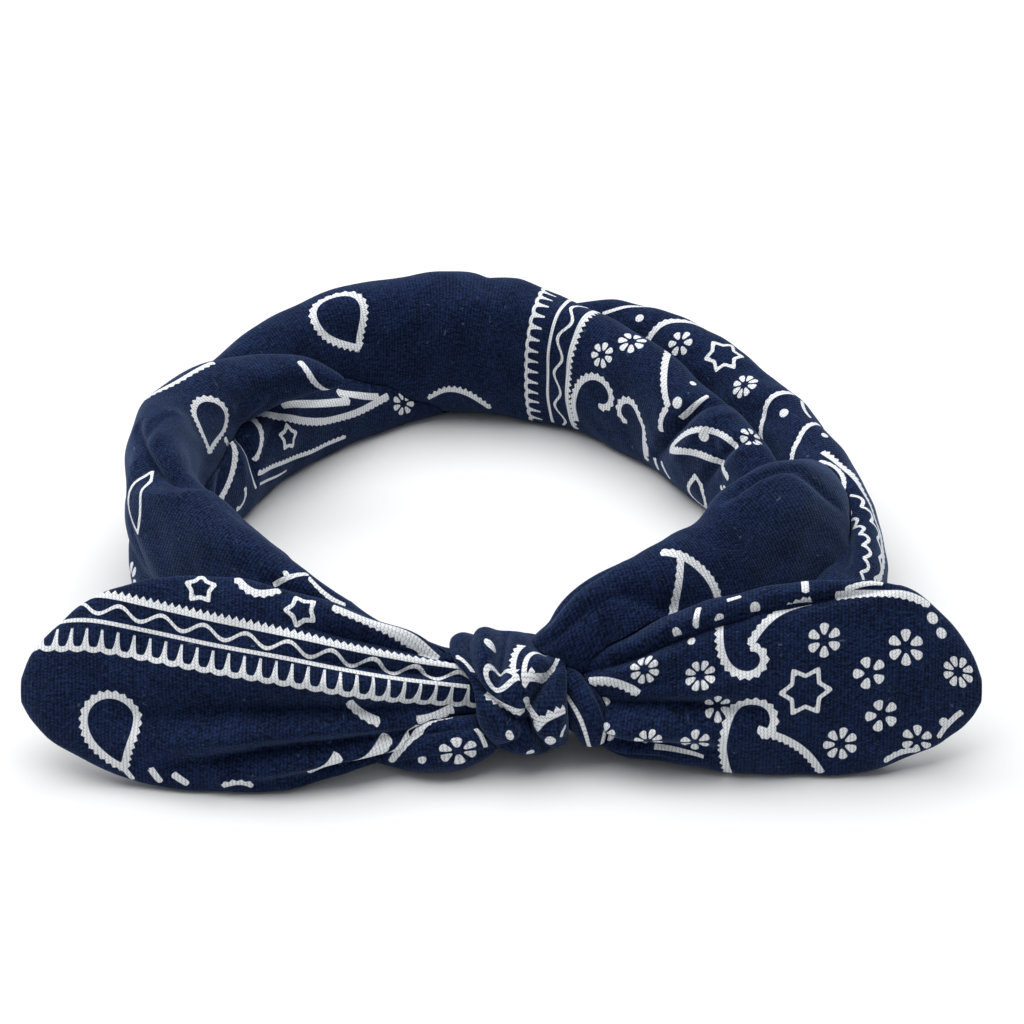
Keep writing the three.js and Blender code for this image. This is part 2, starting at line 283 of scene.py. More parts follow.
# The print, in millimetres where nothing else is said.
TOOTH_PITCH = 1.6  # between the teeth of a line
COMB_PITCH = 3.5  # between a comb border's prongs
COMB_HEIGHT = 4.3
COMB_BASE = 0.35  # half width of the line that the prongs stand on
COMB_DIP = 0.55  # how far that line's scallops hang down
COMB_CELL = 0.86  # share of the pitch that a cell takes at the prongs' tips
COMB_CUP = 4.5  # how square a cell's bottom is
COMB_REACH = 3  # how much further than a line's a comb's own coordinates are kept
PLAIN_LINE = 6.0  # how far a border's plain line, wave and sawtooth lie from its comb
WAVE_LINE = 8.9
SAWTOOTH_LINE = 12.0
WAVE_HEIGHT = 1.2
WAVE_SLACK = 2  # half widths past its swing that a wave's line may reach
WAVE_PITCH = 9.4
THIN = 0.45  # half width of a border's plain line and wave, and of a star's line
LINE_CUT = 1.45  # half widths from a line's middle, past which it has no ink but its teeth
SAWTOOTH = (0.6, 1.7)  # half width, and the teeth's height in half widths
FIGURE_LINE = (0.7, 0.9)
STAR_WAIST = 0.62  # how far in a star's line turns, as a share of its reach
SCALLOPS = ((0, 4.2), (4.4, 5.4))  # a lace's two rows: how far across, and pitch
SCALLOP_POINTS = 3  # to a millimetre
SCALLOP_HEIGHT = 1.7
SCALLOP_LINE = 0.42
FLOWER_MARGIN = 2  # past twice a flower's radius, to where its coordinates are worked out
PETAL_MIDDLE = 0.66  # of a flower's radius
PETAL_WIDTH = (1.15, 0.14)  # shared out among the petals, and for each one
RUN_STEPS = 17  # points along a run
FIGURE_STEPS = 49  # points round a figure
FAR = 99.0  # a print coordinate clear of every motif
BESIDE = 7  # how far from a line its coordinates are worked out
CROWDED = 3.6  # half widths, within which two lines would break each other
PAST_END = 3  # how much faster a line runs out past its ends

FIELDS = ("lines", "borders", "blooms", "combs")
LINE_FIELDS = FIELDS[:2]

FUZZ_TINT = (0.42, 0.6, 1.0)
STITCH_RELIEF = 0.15  # mm, how far the knit stands up

# The map for baking: the outside of a piece fills most of it, and the inside a strip at its top.
BAKE_EDGE = 0.005
BAKE_ALONG = 0.98
BAKE_OUTSIDE = 0.86
BAKE_STRIP = 0.9
BAKE_INSIDE = 0.08

# The stage, in metres. Lights: name, place, aim, size, power.
SKY = 0.26
SKY_COLOUR = (0.93, 0.965, 1.0)
LIGHTS = [
    ("softbox_top", (-0.1, 0.3, 1.3), (0, 0, 0), (2.1, 1.5), 28),
    ("softbox_left", (-1.1, 0.3, 0.6), (0, 0, 0.02), (0.8, 0.8), 2.8),
]
TABLE_HALF = 2.0
CAMERA_AIM = (0.00225, 0.0241, 0)
CAMERA_RISE = 34  # degrees above the table
LENS = 129.7  # mm, on a film 36 mm wide
FILM = 36

# Creases, listed one by one. u, v to u, v: from and to, in millimetres along a piece from its start
# and round it from its top. Then depth (out where negative), half width and sideways bow.
CREASES = {
    "tail_left": [
        (3, -3, 88, -8, 4.6, 3.2, 1.2),
        (6, -6, 88, -15, -2.6, 3.2, 0.8),
        (7, -7, 76, -18, 4.2, 2.4, 0.8),
        (12, -10, 66, -21, -1.8, 2.4, 0),
        (10, -9, 48, -22, 2.6, 1.6, -0.8),
        (20, -14, 60, -22, 1.4, 2.0, 0),
        (6, 8, 52, 15.5, 2.8, 1.7, 0.6),
        (10, 11, 48, 20.5, -1.2, 2.4, 0),
        (4, 3.5, 48, 8, 2.4, 1.4, 0),
        (12, 0.5, 66, 3.5, -1.4, 2.6, 0),
        (60, 12, 96, 6, 0.5, 5, 0),
        (70, -10, 98, -2, 0.5, 4, 0),
        (30, 30, 70, 38, 1.4, 2.6, 1),
        (20, -34, 62, -40, 1.5, 2.4, -1),
    ],
    "tail_right": [
        (5, 1, 56, -6.5, 4.2, 2.3, 1),
        (10, -4, 56, -12, -2.0, 3.0, 0),
        (6, 5, 50, 16.5, 3.4, 1.6, 0.8),
        (5, -3, 40, -16, 2.2, 1.3, -0.6),
        (36, 14.5, 82, 20.5, 2.6, 1.3, 0.7),
        (12, 9, 62, 21.5, -1.5, 2.4, 0.6),
        (10, 3.5, 50, 5, 1.4, 1.8, -0.5),
        (12, 7.5, 36, 9, -1.0, 1.7, 0),
        (12, -9, 46, -14.5, 1.6, 1.5, 0),
        (10, -12, 34, -17, 1.3, 1.4, 0),
        (24, -1, 60, 2, -0.8, 3.2, 0),
        (58, -12, 92, -4, 0.5, 4.5, 0),
        (60, 13, 94, 6, 0.45, 4, 0),
        (30, 32, 74, 34, 1.4, 2.6, -1),
        (20, -34, 60, -38, 1.4, 2.4, 1),
    ],
    "band_left": [
        (62, 7, 98, -3, 4.4, 2.6, 2.5),
        (76, 9, 97, 2, 1.8, 2.0, 1.0),
        (84, 10, 99, 3.5, -1.1, 2.4, 0),
        (70, 5, 102, 23, -1.4, 4.0, 1.0),
        (72, 12, 100, 30, 1.5, 2.2, 1.0),
        (58, -4, 74, 4, 1.4, 2.0, 0),
        (2, -6, 34, -13, 1.4, 2.0, 1.0),
        (96, -2, 132, -5, 0.8, 2.5, 0),
        (112, 12, 140, 4, 0.8, 3.0, 0),
        (30, 18, 70, 26, 1.1, 3.0, 1.0),
        (18, 30, 58, 40, 1.4, 2.2, 1),
        (58, 36, 104, 28, 1.7, 2.2, -1),
        (78, 46, 130, 42, -1.2, 3.0, 1),
        (8, 14, 40, 22, 1.2, 2.0, 0),
        (90, -30, 130, -22, 1.1, 3.0, -1.0),
        (110, 26, 138, 14, 1.4, 2.2, 0),
        (126, 8, 144, 2, 1.3, 1.5, 0),
        (124, -8, 144, -3, 1.1, 1.6, 0),
    ],
    "band_back": [
        (125, 12, 123, -20, 1.1, 2.4, 0.5),
        (118, 10, 117, -14, -0.6, 3.5, 0),
        (63, -26, 50, 6, 2.8, 1.5, 1.5),
        (57, -24, 44, 4, -1.4, 2.4, 1.5),
        (44, -22, 34, 6, 1.8, 1.4, 1.2),
        (84, -30, 62, -14, 0.8, 2.4, 1),
        (150, -20, 172, -8, 0.9, 3.0, 0),
        (128, -6, 158, -14, 0.45, 5.0, 1),
        (96, -14, 112, -22, 0.5, 4.0, 0),
        (34, -14, 48, -4, 0.9, 2.0, 0),
        (70, 22, 110, 30, 1.2, 3.0, 2),
        (120, 30, 170, 20, 1.1, 3.0, -2),
        (140, 14, 150, 34, 0.9, 2.6, 0),
        (180, 12, 205, 20, 1.0, 2.6, 0),
        (90, 34, 132, 42, 1.5, 2.2, 1),
        (138, 42, 178, 34, 1.4, 2.4, -1),
        (38, 24, 74, 36, 1.5, 2.0, 1),
        (102, 48, 152, 50, -1.1, 3.0, 0),
        (174, 28, 208, 32, 1.3, 2.0, 0),
        (186, -14, 212, -6, 1.0, 2.2, 0),
    ],
    "band_front_right": [
        (58, 1, 80, 6, 1.9, 1.3, -1.6),
        (76, 4, 86, 18, 1.3, 1.7, 1.0),
        (21, 3, 34, 17, 2.6, 2.6, 1.0),
        (14, 2, 28, 10, -0.9, 2.6, 0),
        (4, 4, 30, 9, 1.2, 1.5, 0),
        (4, -5, 30, -7, 1.2, 1.8, 0),
        (6, 0, 26, -1, 0.9, 1.4, 0),
        (40, 4, 66, 14, 0.5, 4.0, 0),
        (52, 20, 80, 24, 0.6, 3.0, 0),
        (46, -14, 78, -20, 1.1, 2.6, 1),
        (26, 26, 62, 36, 1.5, 2.2, 1),
        (36, 40, 74, 34, -1.2, 2.8, 0),
        (60, -30, 84, -28, 1.0, 2.4, 0),
    ],
    "band_outer_right": [
        (84, -4, 42, 0, 3.2, 1.9, 0),
        (88, 2, 56, 5, -0.7, 2.2, 0),
        (152, -9, 122, 2, 0.7, 2.6, 0),
        (128, -10, 96, 0, 0.8, 2.4, 1),
        (108, -8, 84, 3, 0.7, 2.0, 0),
        (60, 14, 30, 18, 1.1, 2.4, 1),
        (152, 26, 110, 34, 1.4, 2.2, 1),
        (102, 32, 56, 26, 1.5, 2.0, -1),
        (184, 24, 150, 32, 1.2, 2.0, 0),
        (64, 36, 26, 30, 1.1, 2.0, 0),
        (120, 16, 80, 22, 1.0, 2.8, 1),
        (176, 12, 140, 20, 1.0, 2.6, -1),
        (40, 8, 20, 14, 0.9, 2.0, 0),
    ],
    "band_inner_left": [
        (84, 3, 82, -18, 1.6, 1.3, -1.5),
        (88, 2, 87, -16, -0.7, 2.0, -1.5),
        (56, -1, 80, -13, 0.8, 1.8, 1),
        (30, -2, 60, -6, 0.7, 2.0, 0),
        (92, -4, 104, -12, 1.1, 1.6, 0),
        (40, 14, 80, 18, 1.0, 2.4, 0),
    ],
    "knot_wrap": [
        (-14, -5, 12, -9.5, 2.8, 1.1, -1.5),
        (-10, 1, 12, -6.5, 4.6, 1.2, 1.2),
        (-9, -3.5, 9, -8, -1.8, 2.8, 0.8),
        (2, 10.5, 11, -5, -1.6, 2.4, 0.6),
        (-12, 8.5, 5, 8.5, 2.8, 3.0, 0),
        (3, 12, 18, -1.5, 4.4, 1.1, -0.8),
        (8, -11, 18, 2.5, 3.6, 1.0, -1),
        (15, 3.5, 23, -7, 3.0, 1.0, 0.8),
        (12, 0.5, 29, 6.5, 3.4, 1.0, -0.8),
        (15, -2.5, 24, -1, -1.6, 2.6, 0),
        (11, 5.5, 21, 8, -1.4, 2.0, 0.6),
        (32, -5, 62, -4, 1.5, 1.3, 0),
        (34, 4, 58, 3, 1.3, 1.2, 0),
    ],
    "knot_tuck_left": [
        (2, -3, 31, -3, 1.1, 1.0, 0.5),
        (3, 3.5, 30, 2, 1.0, 1.0, 0),
        (4, -9, 28, -8, 1.0, 1.0, -0.5),
    ],
    "knot_strand_right": [
        (2, 1.5, 26, -0.5, 1.0, 1.0, 0.4),
        (4, -5, 22, -5, 0.8, 1.0, 0),
    ],
}

# The lines printed on each piece. u, v: the middle of a figure or where a run starts, along the
# piece and round it, as for the creases. Turns are in degrees. Sizes are the longest way across.
# star: u, v, radius, tips, turn.
# drop, leaf, hook, arch: u, v, turn, size, then its own half width and teeth where it has them.
# stroke: u, v to u, v, bow, half width, teeth. Teeth and bow are on the left of the way it runs.
# border: u, v to u, v, bow, its width at each end as a share, and the comb's.
# lace: u, v to u, v, bow.
LINES = {
    "tail_left": [
        ("border", 9, -3, 104, 9, 0, 0.75, 1.05, 1),
        ("star", 67, 22, 3.3, 5, 20),
        ("star", 45, 18, 3.4, 5, 70),
        ("stroke", 59, 25, 50, 23, 2.5, 0.75, 0.7),
        ("stroke", 38, 19, 15, 10, -0.5, 0.9, 0.4),
        ("drop", 87, -11, 180, 16),
        ("stroke", 84, -19, 82, -22, 0, 0.6, 0),
        ("stroke", 78, -19, 76, -22, 0, 0.8, 0),
        ("stroke", 73, -20, 70, -22, 0, 0.8, 0),
        ("stroke", 56, -22, 62, -22, 1, 0.6, 0.9),
        ("stroke", 34, -2, 28, -6, 0.5, 0.9, 0.4),
        ("stroke", 43, -19, 37, -14, 0.5, 1.1, 0.2),
        ("stroke", 33, -16, 26, -10, 0.5, 1.1, 0.2),
        ("stroke", 27, -15, 19, -8, 0.5, 1.2, 0.2),
        ("stroke", 19, -6, 12, -4, 0.5, 0.9, 0.6),
        ("drop", 30, 34, 40, 14),
        ("drop", 62, -40, 200, 14),
        ("star", 88, -28, 3.6, 5, 0),
        ("hook", 58, 42, -60, 13),
    ],
    "tail_right": [
        ("star", 61, -1, 5.5, 6, 0),
        ("hook", 47, 10, 88, 13),
        ("stroke", 49, 10, 62, 19, 2, 0.75, 0.6),
        ("hook", 49, -12, 105, -17),
        ("stroke", 65, -21, 51, -9, -2, 0.75, 0.6),
        ("stroke", 88, 17, 68, 20, -1, 0.8, 0.5),
        ("stroke", 24, 2, 14, 5, -1.5, 0.85, 0.6),
        ("stroke", 28, -13, 39, -16, 0, 0.4, 0),
        ("stroke", 61, 21, 61, 24, 0, 0.8, 0),
        ("stroke", 70, 21, 78, 22, 0.5, 0.6, 0.3),
        ("stroke", 37, 15, 38, 19, 0, 0.6, 0),
        ("stroke", 44, 20, 47, 21, 0, 0.5, 0),
        ("stroke", 91, -13, 96, -6, 0.5, 0.6, 0),
        ("stroke", 79, -19, 86, -17, 0.5, 0.7, 0.4),
        ("hook", 40, 34, 30, 14),
        ("hook", 72, -36, 200, 14),
        ("star", 66, 42, 4.6, 6, 0),
    ],
    "band_back": [
        ("border", 107, -36, 113, 36, 0, 1.15, 1.15, 0.85),
        ("drop", 162, -9, 180, 16),
        ("stroke", 119, -37, 138, -36, 3.5, 0.75, 1.1),
        ("hook", 86, -22, -92, 16),
        ("hook", 72, -22, 92, -14),
        ("stroke", 74, 5, 60, -8, 1, 0.75, 0.5),
        ("stroke", 60, -9, 60, -15, 0.5, 0.7, 0.5),
        ("stroke", 56, -9, 54, 1, 0.8, 0.5, 0),
        ("stroke", 36, -4, 56, -18, 4, 0.65, 0.5),
        ("stroke", 33, -11, 56, -18, 2, 0.75, 0.4),
        ("drop", 45, -24, 10, 9, 0.5, 0.4),
        ("stroke", 66, -24, 66, -27, 0, 0.6, 0),
        ("stroke", 63, -26, 62, -29, 0, 0.6, 0),
        ("stroke", 60, -25, 57, -28, 0, 0.6, 0.3),
        ("drop", 140, 20, 30, 14),
        ("drop", 178, 12, 160, 13),
        ("hook", 78, 26, 60, 13),
        ("star", 126, 32, 4.4, 6, 0),
        ("arch", 196, -18, 40, 12),
    ],
    "band_outer_right": [
        ("stroke", 178, -4, 166, 3, 0.5, 0.5, 0),
        ("stroke", 153, 3, 162, -13, 3, 0.75, 0.5),
        ("star", 140, -2, 4.9, 6, 10),
        ("stroke", 118, 3, 111, -13, 3, 0.65, 0.5),
        ("stroke", 115, 4, 108, 3, 0.8, 0.5, 0),
        ("stroke", 105, 4, 94, -11, 2, 0.65, 0.5),
        ("stroke", 40, 11, 93, -1, 1.5, 0.7, 1.1),
        ("leaf", 84, -2, 170, 12, 0.5, 0.3),
        ("lace", 43, 5, 74, -4, 0.5),
        ("hook", 118, 18, -80, 13),
        ("drop", 70, 20, -90, 13),
        ("star", 28, 12, 3.8, 5, 0),
    ],
    "band_front_right": [
        ("stroke", 42, 21, 35, 3, 3, 0.8, 0.5),
        ("stroke", 38, 6, 32, 19, 0.5, 0.75, 0.4),
        ("drop", 62, -26, -60, 14),
        ("arch", 82, -22, 20, 12),
    ],
    "band_left": [
        ("stroke", 11, -1, 3, -7, 1, 0.85, 0.3),
        ("stroke", 48, 7, 31, 2, 2.5, 0.75, 0.8),
        ("drop", 46, -13, -118, 16),
        ("stroke", 42, -20, 38, -25, 1, 0.7, 0.5),
        ("leaf", 86, 12, 50, 15, 0.4, 0),
        ("stroke", 129, 7, 133, -1, 0, 0.5, 0),
        ("stroke", 131, 8, 142, 3, -1, 0.5, 0.6),
        ("stroke", 134, 0, 144, 0, 0.8, 0.55, 0.4),
        ("stroke", 132, -3, 140, -4, 0.6, 0.5, 0),
        ("drop", 118, 28, 150, 14),
        ("hook", 60, 28, 60, 13),
        ("drop", 120, -26, 30, 13),
        ("star", 134, 16, 3.4, 5, 0),
    ],
    "band_inner_left": [
        ("stroke", 99, -10, 84, 2, 4, 0.75, 0.5),
        ("stroke", 82, 1, 82, -18, 1, 0.4, 0),
        ("stroke", 80, -11, 75, 3, 3, 0.7, 0.5),
        ("star", 66, -11, 3.2, 5, 30),
        ("stroke", 44, -17, 80, -15, -2, 0.55, 0.9),
        ("stroke", 66, -21, 80, -18, -0.6, 0.4, 0),
        ("stroke", 72, -1, 30, -7, 6.5, 0.9, 0.4),
        ("stroke", 63, -3, 43, -7, 0.6, 1, 0),
        ("stroke", 45, -4, 33, -7, 0.6, 0.9, 0),
        ("arch", 89, -17, 60, 5, 0.5, 0.4),
    ],
    "knot_wrap": [
        ("drop", 8, -3.5, 10, 6.5, 0.5, 0),
        ("leaf", 4.5, 6.5, 130, 14, 0.5, 0),
        ("stroke", 7, -0.5, 0, 3.5, 0.5, 0.5, 1.3),
        ("stroke", -4, 1, 0, 3.5, 0.5, 0.5, 0),
        ("stroke", 14.5, 0.5, 11, -8.5, 0.5, 0.55, 0.9),
        ("stroke", 10, 1, 7.5, 3.5, 0, 0.5, 0),
        ("stroke", 15.5, 3.5, 12, 1.5, 0.5, 0.6, 0.6),
        ("stroke", 17.5, 3, 14.5, 9.5, 1, 0.5, 1.4),
        ("stroke", 19.5, 8, 17.5, 9.5, 0.5, 0.4, 0),
        ("stroke", 2, -12, 6, -10, 0.5, 0.5, 0),
        ("stroke", -8, 5, -2, 9, 1, 0.5, 0.8),
        ("stroke", 40, 6, 55, 8, -4, 0.6, 0.5),
    ],
    "knot_tuck_left": [
        ("stroke", 8, -3, 7, -8, 0, 0.5, 0),
        ("stroke", 18, 0, 12, 2, -0.8, 0.9, 0.5),
        ("stroke", 26, -7, 18, 0, 0.5, 0.9, 0.2),
    ],
    "knot_strand_right": [
        ("stroke", 3, 2, 21, 0.5, 0.5, 0.45, 0),
        ("stroke", 16, -3.5, 21, -2.5, 0.5, 0.6, 0),
    ],
}

# Flowers and dots: u, v, radius, and petals where it has them.
BLOOMS = {
    "tail_left": [
        (46, 36, 3.6, 7), (70, 36, 3.8, 6), (84, 32, 3.6, 8), (40, -34, 3.6, 6), (78, -36, 3.8, 7),
    ],
    "tail_right": [
        (65, 10, 3.8, 6), (83, 7, 4, 6), (95, 3, 3.5, 8), (75, 2, 3.6, 5), (78, -8, 3.7, 5),
        (69, -14, 3.8, 7), (86, -14, 3.6, 6), (38, 4, 3.4, 8), (26, 7, 3.2, 8), (42, -4, 3, 6),
        (17, -7, 3.2, 8), (27, -9, 3.2, 8), (37, -11, 3.4, 6), (89, 14, 1.3), (91, 11, 1.2),
        (33, 14, 0.9), (36, 12, 0.9), (50, 18, 1.1), (16, 0, 1.2), (92, -9, 1.1), (58, 34, 4, 6),
        (78, 30, 4, 8), (52, -36, 4, 7), (30, -32, 3.6, 6), (86, -26, 3.8, 7), (48, 44, 3.8, 8),
    ],
    "band_back": [
        (86, -8, 3.3, 7), (81, -1, 3.6, 7), (58, -6, 1.4), (60, 1, 0.9), (46, -8, 1.3),
        (33, -17, 3.2, 7), (36, 1, 3, 7), (64, 18, 3.6, 6), (52, 26, 3.6, 8), (88, 38, 3.6, 7),
        (158, 32, 3.8, 6), (194, 8, 3.4, 6), (206, -8, 3.2, 7),
    ],
    "band_outer_right": [
        (167, -4, 1.1), (169, -8, 0.9), (152, -6, 3.4, 6), (128, -5, 3.6, 8), (112, -3, 1.3),
        (99, 2, 0.9), (140, 14, 3.6, 7), (96, 16, 3.6, 6), (48, 22, 3.4, 8), (164, 16, 3.4, 8),
        (84, -14, 3.2, 6),
    ],
    "band_front_right": [
        (36, -24, 3.6, 7), (48, 34, 3.6, 6),
    ],
    "band_left": [
        (130, 3, 0.7), (100, -26, 3.6, 6), (84, 36, 3.8, 7), (40, 20, 3.4, 6),
    ],
    "band_inner_left": [
        (25, -9, 3.3, 7), (50, 14, 3.4, 7), (72, 16, 3.4, 6),
    ],
    "knot_wrap": [
        (-4, -8.5, 0.9), (-1.5, -2, 1.1), (1, -4, 1.2), (-3, 6.5, 0.9), (20, 5.5, 1.2),
        (22.5, 0.5, 0.9), (18, -3, 0.9), (34, 0, 3.4, 7), (52, -4, 3.4, 6),
    ],
    "knot_tuck_left": [
        (12, -8, 3.4, 6), (19, -9, 0.9),
    ],
}


def smooth(rows, at):
    """The table's rows at places between them, smoothed through every column."""
    last = len(rows) - 1
    i = np.clip(at.astype(int), 0, last - 1)
    t = (at - i)[:, None]
    a, b, c, d = (rows[np.clip(i + k, 0, last)] for k in (-1, 0, 1, 2))
    start, end = (c - a) / 2, (d - b) / 2
    return (
        b * (2 * t**3 - 3 * t**2 + 1)
        + start * (t**3 - 2 * t**2 + t)
        + c * (3 * t**2 - 2 * t**3)
        + end * (t**3 - t**2)
    )


def unit(v):
    """Vectors of length 1."""
    return v / np.maximum(np.linalg.norm(v, axis=-1, keepdims=True), 1e-9)


def rounded(v, full):
    """A sine or cosine squared up."""
    return np.sign(v) * np.abs(v) ** (OVAL / full)


def even_places(path, last, step):
    """Places along a path at even distances, an even number of steps, and the distances."""
    dense = np.linspace(0, last, TRIES_ALONG * last + 1)
    steps = np.linalg.norm(np.diff(path(dense), axis=0), axis=1)
    length = np.concatenate([[0], np.cumsum(steps)])
    count = 2 * int(round(length[-1] / step / 2))
    u = np.linspace(0, length[-1], count + 1)
    return np.interp(u, length, dense), u


def even_turns(across, up, full, count):
    """Turns round each section at even distances, from its top, and the distance all round it."""
    dense = np.linspace(0, 2 * math.pi, TRIES_ROUND)
    x = across[:, None] * rounded(np.sin(dense), full[:, None])
    y = up[:, None] * rounded(np.cos(dense), full[:, None])
    steps = np.hypot(np.diff(x, axis=1), np.diff(y, axis=1))
    length = np.concatenate([np.zeros((len(x), 1)), np.cumsum(steps, axis=1)], axis=1)
    share = np.arange(count) / count
    turns = np.array([np.interp(share * row[-1], row, dense) for row in length])
    return turns, length[:, -1]


def wrapped(v, round_it):
    """A distance round a section, taken the short way from its top."""
    return (v + round_it / 2) % round_it - round_it / 2


# Each form below has rows of sizes, a path along them, its sections' half sizes and squareness at
# places on that path, and its points at turns round each section, let in by an inset. A form that
# is a loop has no ends, and shut says which ends of another are closed.


class Stretch:
    """A length of cloth along a path of rows, with an oval section that leans and squares up."""

    loop = False

    def __init__(self, rows, facing=UP, shut=(False, False)):
        upright_oval = (0, OVAL)
        self.rows = np.array([(*row, *upright_oval)[:7] for row in rows], float)
        self.facing = facing
        self.shut = shut
        self.last = len(rows) - 1

    def path(self, at):
        return smooth(self.rows, at)[:, :3]

    def sizes(self, at):
        row = smooth(self.rows, at)
        return row[:, 4] / 2, row[:, 3] / 2, row[:, 6]

    def points(self, at, turn, inset):
        row = smooth(self.rows, at)
        ahead = self.path(np.minimum(at + NUDGE, self.last))
        along = unit(ahead - self.path(np.maximum(at - NUDGE, 0)))
        outward = unit(np.cross(along, self.facing))
        upright = unit(np.cross(outward, along))
        lean = np.radians(row[:, 5:6])
        rise = upright * np.cos(lean) + outward * np.sin(lean)
        side = np.cross(along, rise)
        full = row[:, 6:7]
        through = np.maximum(row[:, 4:5] / 2 - inset, LEAST) * rounded(np.sin(turn), full)
        up = np.maximum(row[:, 3:4] / 2 - inset, LEAST) * rounded(np.cos(turn), full)
        middle = row[:, None, :3]
        return middle + through[..., None] * side[:, None] + up[..., None] * rise[:, None]


class Tail:
    """A bow tail: a leaf with a lens-shaped section. v starts at the middle of its front."""

    loop = False
    shut = (False, True)

    def __init__(self, root, heading, lean, rows):
        self.rows = np.array(rows, float)
        self.root = np.array(root, float)
        back = math.radians(lean)
        self.along = np.array([heading, 0, 0])
        self.rise = np.array([0, math.sin(back), math.cos(back)])
        self.front = np.array([0, -math.cos(back), math.sin(back)])
        self.last = len(rows) - 1

    def path(self, at):
        return self.root + smooth(self.rows, at)[:, :1] * self.along

    def sizes(self, at):
        row = smooth(self.rows, at)
        return (row[:, 1] + row[:, 2]) / 2, row[:, 3] / 2, np.full(len(at), OVAL)

    def points(self, at, turn, inset):
        row = smooth(self.rows, at)[:, None]
        half = np.maximum((row[..., 1] + row[..., 2]) / 2 - EDGE_ON * inset, LEAST)
        height = (row[..., 1] - row[..., 2]) / 2 + half * np.sin(turn)
        through = row[..., 4] + np.maximum(row[..., 3] / 2 - inset, LEAST) * np.cos(turn)
        middle = self.root + row[..., :1] * self.along
        return middle + height[..., None] * self.rise + through[..., None] * self.front


class Wrap:
    """The strip round the knot, as a closed hoop. v starts at the middle of its outside."""

    loop = True
    shut = ()

    def __init__(self, rows):
        self.last = len(rows)
        self.rows = np.array([rows[-1], *rows, *rows[:2]], float)

    def middle(self, at):
        turn = 2 * math.pi * at / self.last
        outward = np.stack([0 * turn, -np.sin(turn), np.cos(turn)], axis=1)
        aside = smooth(self.rows, at + 1)[:, :1] * np.array([1, 0, 0])
        return WRAP_CENTRE + outward * WRAP_REACH + aside, outward

    def path(self, at):
        return self.middle(at)[0]

    def sizes(self, at):
        row = smooth(self.rows, at + 1)
        return row[:, 1] / 2, row[:, 2] / 2, np.full(len(at), WRAP_FULL)

    def points(self, at, turn, inset):
        row = smooth(self.rows, at + 1)[:, None]
        middle, outward = self.middle(at)
        out = (row[..., 2] / 2 - inset) * np.cos(turn)
        points = middle[:, None] + out[..., None] * outward[:, None]
        points[..., 0] += (row[..., 1] / 2 - inset) * rounded(np.sin(turn), WRAP_FULL)
        return points


FORMS = {
    "knot_wrap": Wrap(WRAP),
    **{name: Stretch(**shape, shut=(True, True)) for name, shape in BUNCHES.items()},
    **{name: Tail(**shape) for name, shape in TAILS.items()},
    **{name: Stretch(**shape) for name, shape in STRETCHES.items()},
}


def arc(height, t):
    """How far a bow stands off its run, at a share of the run."""
    return height * 4 * t * (1 - t)


def crease_push(rows, u, v, round_it):
    """How far each place is pushed out by the listed creases."""
    push = np.zeros(u.shape)
    for start_u, start_v, to_u, to_v, depth, width, bend in rows:
        run = np.array([to_u - start_u, to_v - start_v], float)
        length = np.hypot(*run)
        run /= length
        du = u - start_u
        dv = wrapped(v - start_v, round_it)
        t = np.clip((du * run[0] + dv * run[1]) / length, 0, 1)
        aside = dv * run[0] - du * run[1] - arc(bend, t)
        fade = np.sin(math.pi * t) ** CREASE_FADE
        push -= depth * fade * np.exp(-np.abs(aside / width) ** CREASE_FLANK)
    return push


def crumple(u, v, seed):
    """Slight unevenness of soft cloth, as a few long waves."""
    draw = np.random.default_rng(seed)
    total = np.zeros(u.shape)
    for size in WAVES:
        way, phase = draw.uniform(0, 2 * math.pi, 2)
        total += size * CRUMPLE * np.sin(
            2 * math.pi * (u * math.cos(way) + v * math.sin(way)) / size + phase
        )
    return total


def settled(heights, lowest):
    """Heights eased to end above the lowest that the table leaves."""
    z = heights - lowest
    return lowest + (z + np.sqrt(z**2 + FLOOR_EASE**2)) / 2


def cloth_grid(name, spacing, inset=0.0, slip=(0, 0), every=1):
    """A piece's surface as rings of points, with each one's place on the cloth.

    It lies in from the outside by the inset, its ends slip outwards along the piece, and every
    so many rings and sides are kept. A place is u, v and the distance all round its section.
    """
    form = FORMS[name]
    at, u = even_places(form.path, form.last, spacing)
    laps = (0,)
    if form.loop:
        laps = (0, u[-1])
        at, u = at[:-1], u[:-1]
    across, up, full = form.sizes(at)
    most = even_turns(across, up, full, 4)[1].max()
    count = 2 * int(round(most / spacing / 2))
    turn, round_it = even_turns(across, up, full, count)
    v = np.arange(count) / count * round_it[:, None]
    at, u, turn, v = at[::every], u[::every], turn[::every, ::every], v[::every, ::every]
    round_it = np.repeat(round_it[::every, None], v.shape[1], axis=1)
    v = wrapped(v, round_it)
    u = np.repeat(u[:, None], v.shape[1], axis=1)
    points = form.points(at, turn, inset)
    if form.loop:
        ahead = np.roll(points, -1, 0) - np.roll(points, 1, 0)
    else:
        for end, step in ((0, 1), (-1, -2)):
            points[end] += slip[end] * unit(points[end].mean(0) - points[step].mean(0))
        ahead = np.gradient(points, axis=0)
    normal = unit(np.cross(ahead, np.roll(points, -1, 1) - np.roll(points, 1, 1)))
    if (normal * (points - points.mean(1, keepdims=True))).sum() < 0:
        normal = -normal
    ends = np.clip(np.minimum(u, u.max() - u) / CALM_END, 0, 1)
    push = sum(crease_push(CREASES[name], u - lap, v, round_it) for lap in laps)
    push *= 1 if form.loop else ends
    push += crumple(u, v, len(name)) * np.minimum(round_it / WIDE, 1) * ends
    points = points + push[..., None] * normal
    points[..., 2] = settled(points[..., 2], max(inset, 0))
    return points, np.stack([u, v, round_it], axis=-1)


